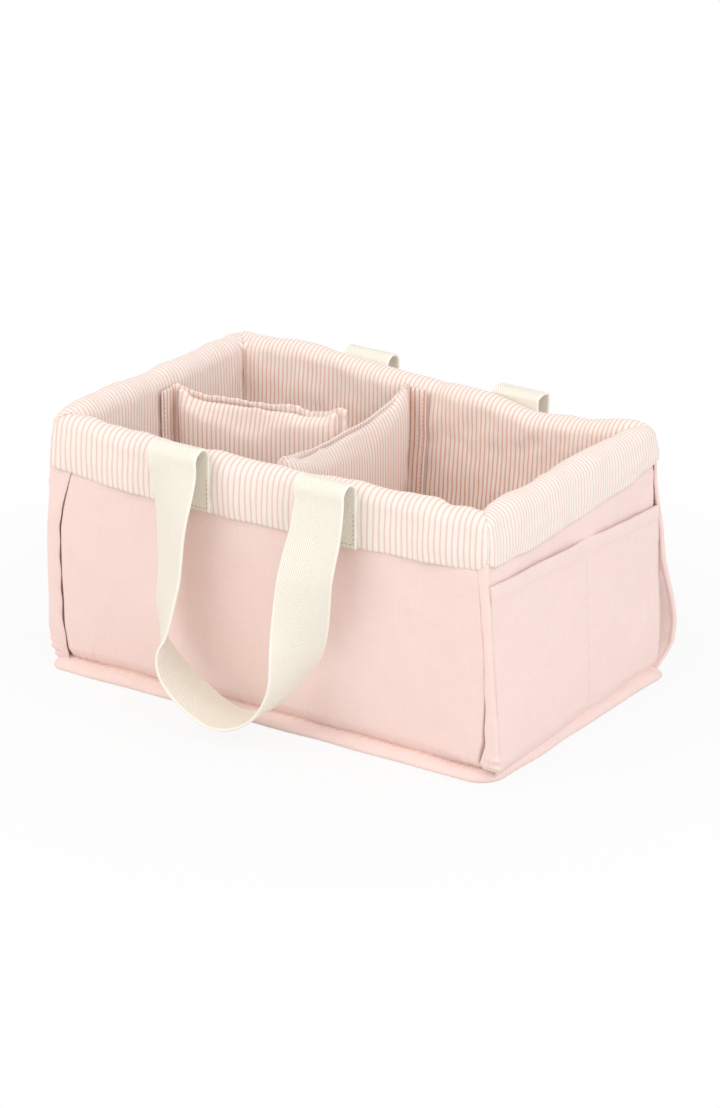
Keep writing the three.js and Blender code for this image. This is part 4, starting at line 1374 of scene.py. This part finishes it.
def ruffleShape(spot, seed):
    # the seam that joins the two covers, standing up round the edge in small waves
    style = divider
    side = np.linspace(0.02, 0.985, 70)
    along = np.concatenate([0 * side, np.linspace(0, 1, 150), 0 * side + 1])
    height = np.concatenate([side, np.ones(150), side[::-1]])
    line = dividerPlace(spot, along, height, 0 * along)
    middle = dividerPlace(spot, np.full(1, 0.5), np.full(1, 0.5), np.zeros(1))[0]
    ahead = np.gradient(line, axis=0)
    ahead /= np.maximum(np.linalg.norm(ahead, axis=1, keepdims=True), 1e-9)
    sideways = np.append(dividerAxes(spot)[2], 0)
    outward = np.cross(ahead, sideways)
    outward *= np.sign((outward * (line - middle)).sum(1))[:, None]
    length = runningLength(line)
    level = np.array([-2.5, 0, 0.35, 0.7, 0.9, 1.0])[:, None]      # below the edge in mm, then as a share
    top = (height > 0.9) | (np.abs(along - 0.5) < 0.49)
    share = np.where(top, np.interp(along, *np.transpose(spot["ruffleAt"])), 0.4)
    reach = style["ruffleReach"] * share * (1 + 0.25 * softNoise(length, 0, 25, seed))
    drift = unevenness(style, "ruffleDrift", length, 2, seed + 1)
    ripples = np.sin(2 * math.pi * length / style["ruffleStep"] + drift)
    wave = style["ruffle"] * share * np.maximum(level, 0) * ripples
    wave = wave + unevenness(style, "ruffleSway", length, 4, seed + 2)
    grid = line + outward * np.where(level < 0, level, level * reach)[..., None] + sideways * wave[..., None]
    half = style["ruffleThickness"] / 2 * np.sqrt(np.clip(1 - np.clip(level, 0, 1) ** 6, 0.05, 1))
    front, back = grid + sideways * half[..., None], grid - sideways * half[..., None]
    return padShape(front, back, np.zeros((*grid.shape[:2], 2)))


def addDivider(name, spot):
    style = divider
    half = style["startThickness"] / 2 + 0
    piece = addPiece(name + "_divider_pad", pillowShape(spot, half), stripedCloth)
    puffUp(piece, style)
    ahead = np.append(dividerAxes(spot)[1], 0)
    points = readPoints(piece.data) / mm
    over = np.clip(points[:, 2] - points[:, 2].max() + 12, 0, None)
    setCloth(piece.data, np.column_stack([points @ ahead, points[:, 2] + over * 0.3]))
    if not piece.data.materials:
        piece.data.materials.append(stripedCloth)
    piece.data.polygons.foreach_set("use_smooth", [True] * len(piece.data.polygons))
    putOn(name + "_divider", piece, *[f"{name}_divider_{cover}" for cover in spot["covers"]])
    points, faces, _ = ruffleShape(spot, spot["seed"])
    cloth = np.column_stack([points @ ahead, points[:, 2]])
    putOn(name + "_divider", addPiece(name + "_divider_seam", (points, faces, cloth), stripedCloth))


for name, spot in dividers.items():
    addDivider(name, spot)
print("dividers made")

# Flaps that hold the dividers, with two rows of stitches each
flapCloth = {
    "thickness": 1.3,
    "reach": 15,
    "stitchInset": 2.2,       # of the outer row, from the edge
    "innerRow": 3,            # of stitches, from the corner
    "stitchDepth": 0.35,
    "ripple": 0.25,
    "rippleLength": 30,
    "bottom": divider["bottom"] + 20,
    "top": body["rim"] - 8,
}
flaps = {
    "cross_divider_back_flap": {
        "middle": crossBack, "off": (0, -1), "aside": (1, 0), "flare": body["sideFlare"],
    },
    "cross_divider_front_flap": {
        "middle": crossFront, "off": (0, 1), "aside": (1, 0), "flare": body["sideFlare"],
    },
    "lengthwise_divider_left_flap": {
        "middle": lengthLeft, "off": (1, 0), "aside": (0, -1), "flare": body["endFlare"],
    },
    "lengthwise_divider_right_flap": {
        "middle": crossFace, "off": crossLeft, "aside": crossAlong, "flare": None,
        "bottom": divider["bottom"] + 45, "top": flapCloth["top"] - 39,
    },
}


def addFlap(node, spot, seed):
    style = {**flapCloth, **spot}
    bodyName = node[:node.index("_divider")] + "_divider"
    off, aside = np.array(spot["off"], float), np.array(spot["aside"], float)
    z = np.linspace(style["top"], style["bottom"], 70)[:, None]
    s = np.linspace(-divider["seamDepth"], style["reach"], 14)[None, :]
    lean = 0 * z if spot["flare"] is None else spot["flare"] * (1 - flareAt(z)) + 1.5 * bulgeShare(z)
    s, z, lean = np.broadcast_arrays(s, z, lean)
    depth = flapStack + lean + unevenness(style, "ripple", z, s, seed)
    edge = np.minimum(style["reach"] - s, np.minimum(z - style["bottom"], style["top"] - z) + 0.3)
    thickness = style["thickness"] * np.sqrt(np.clip(1 - (1 - np.clip(edge / 1.2, 0, 1)) ** 2, 0.04, 1))
    rows = s - style["reach"] + style["stitchInset"], s - style["innerRow"]
    stitched = sum(style["stitchDepth"] * bell(row, 0.8) for row in rows)
    front, back = (
        np.concatenate([spot["middle"] + aside * s[..., None] + off * out[..., None], z[..., None]], -1)
        for out in (depth + thickness - stitched, depth)
    )
    piece = addPiece(node + "_cloth", padShape(front, back, np.stack([s, -z], -1)), stripedCloth)
    putOn(bodyName, piece, node)
    outward = np.append(off, 0)
    sewn = joinShapes([stitchShape(front[2:-2, column] + outward * 0.15, outward) for column in (3, 11)])
    putOn(bodyName, addPiece(node + "_stitches", sewn, pinkThread))


for seed, (node, spot) in enumerate(flaps.items()):
    addFlap(node, spot, 300 + seed)
for node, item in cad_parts.items():
    if "strip" in node or node == "base_board":
        item.data.materials.clear()
        item.data.materials.append(greyBoard if node == "base_board" else hookTape)
print("flaps made")
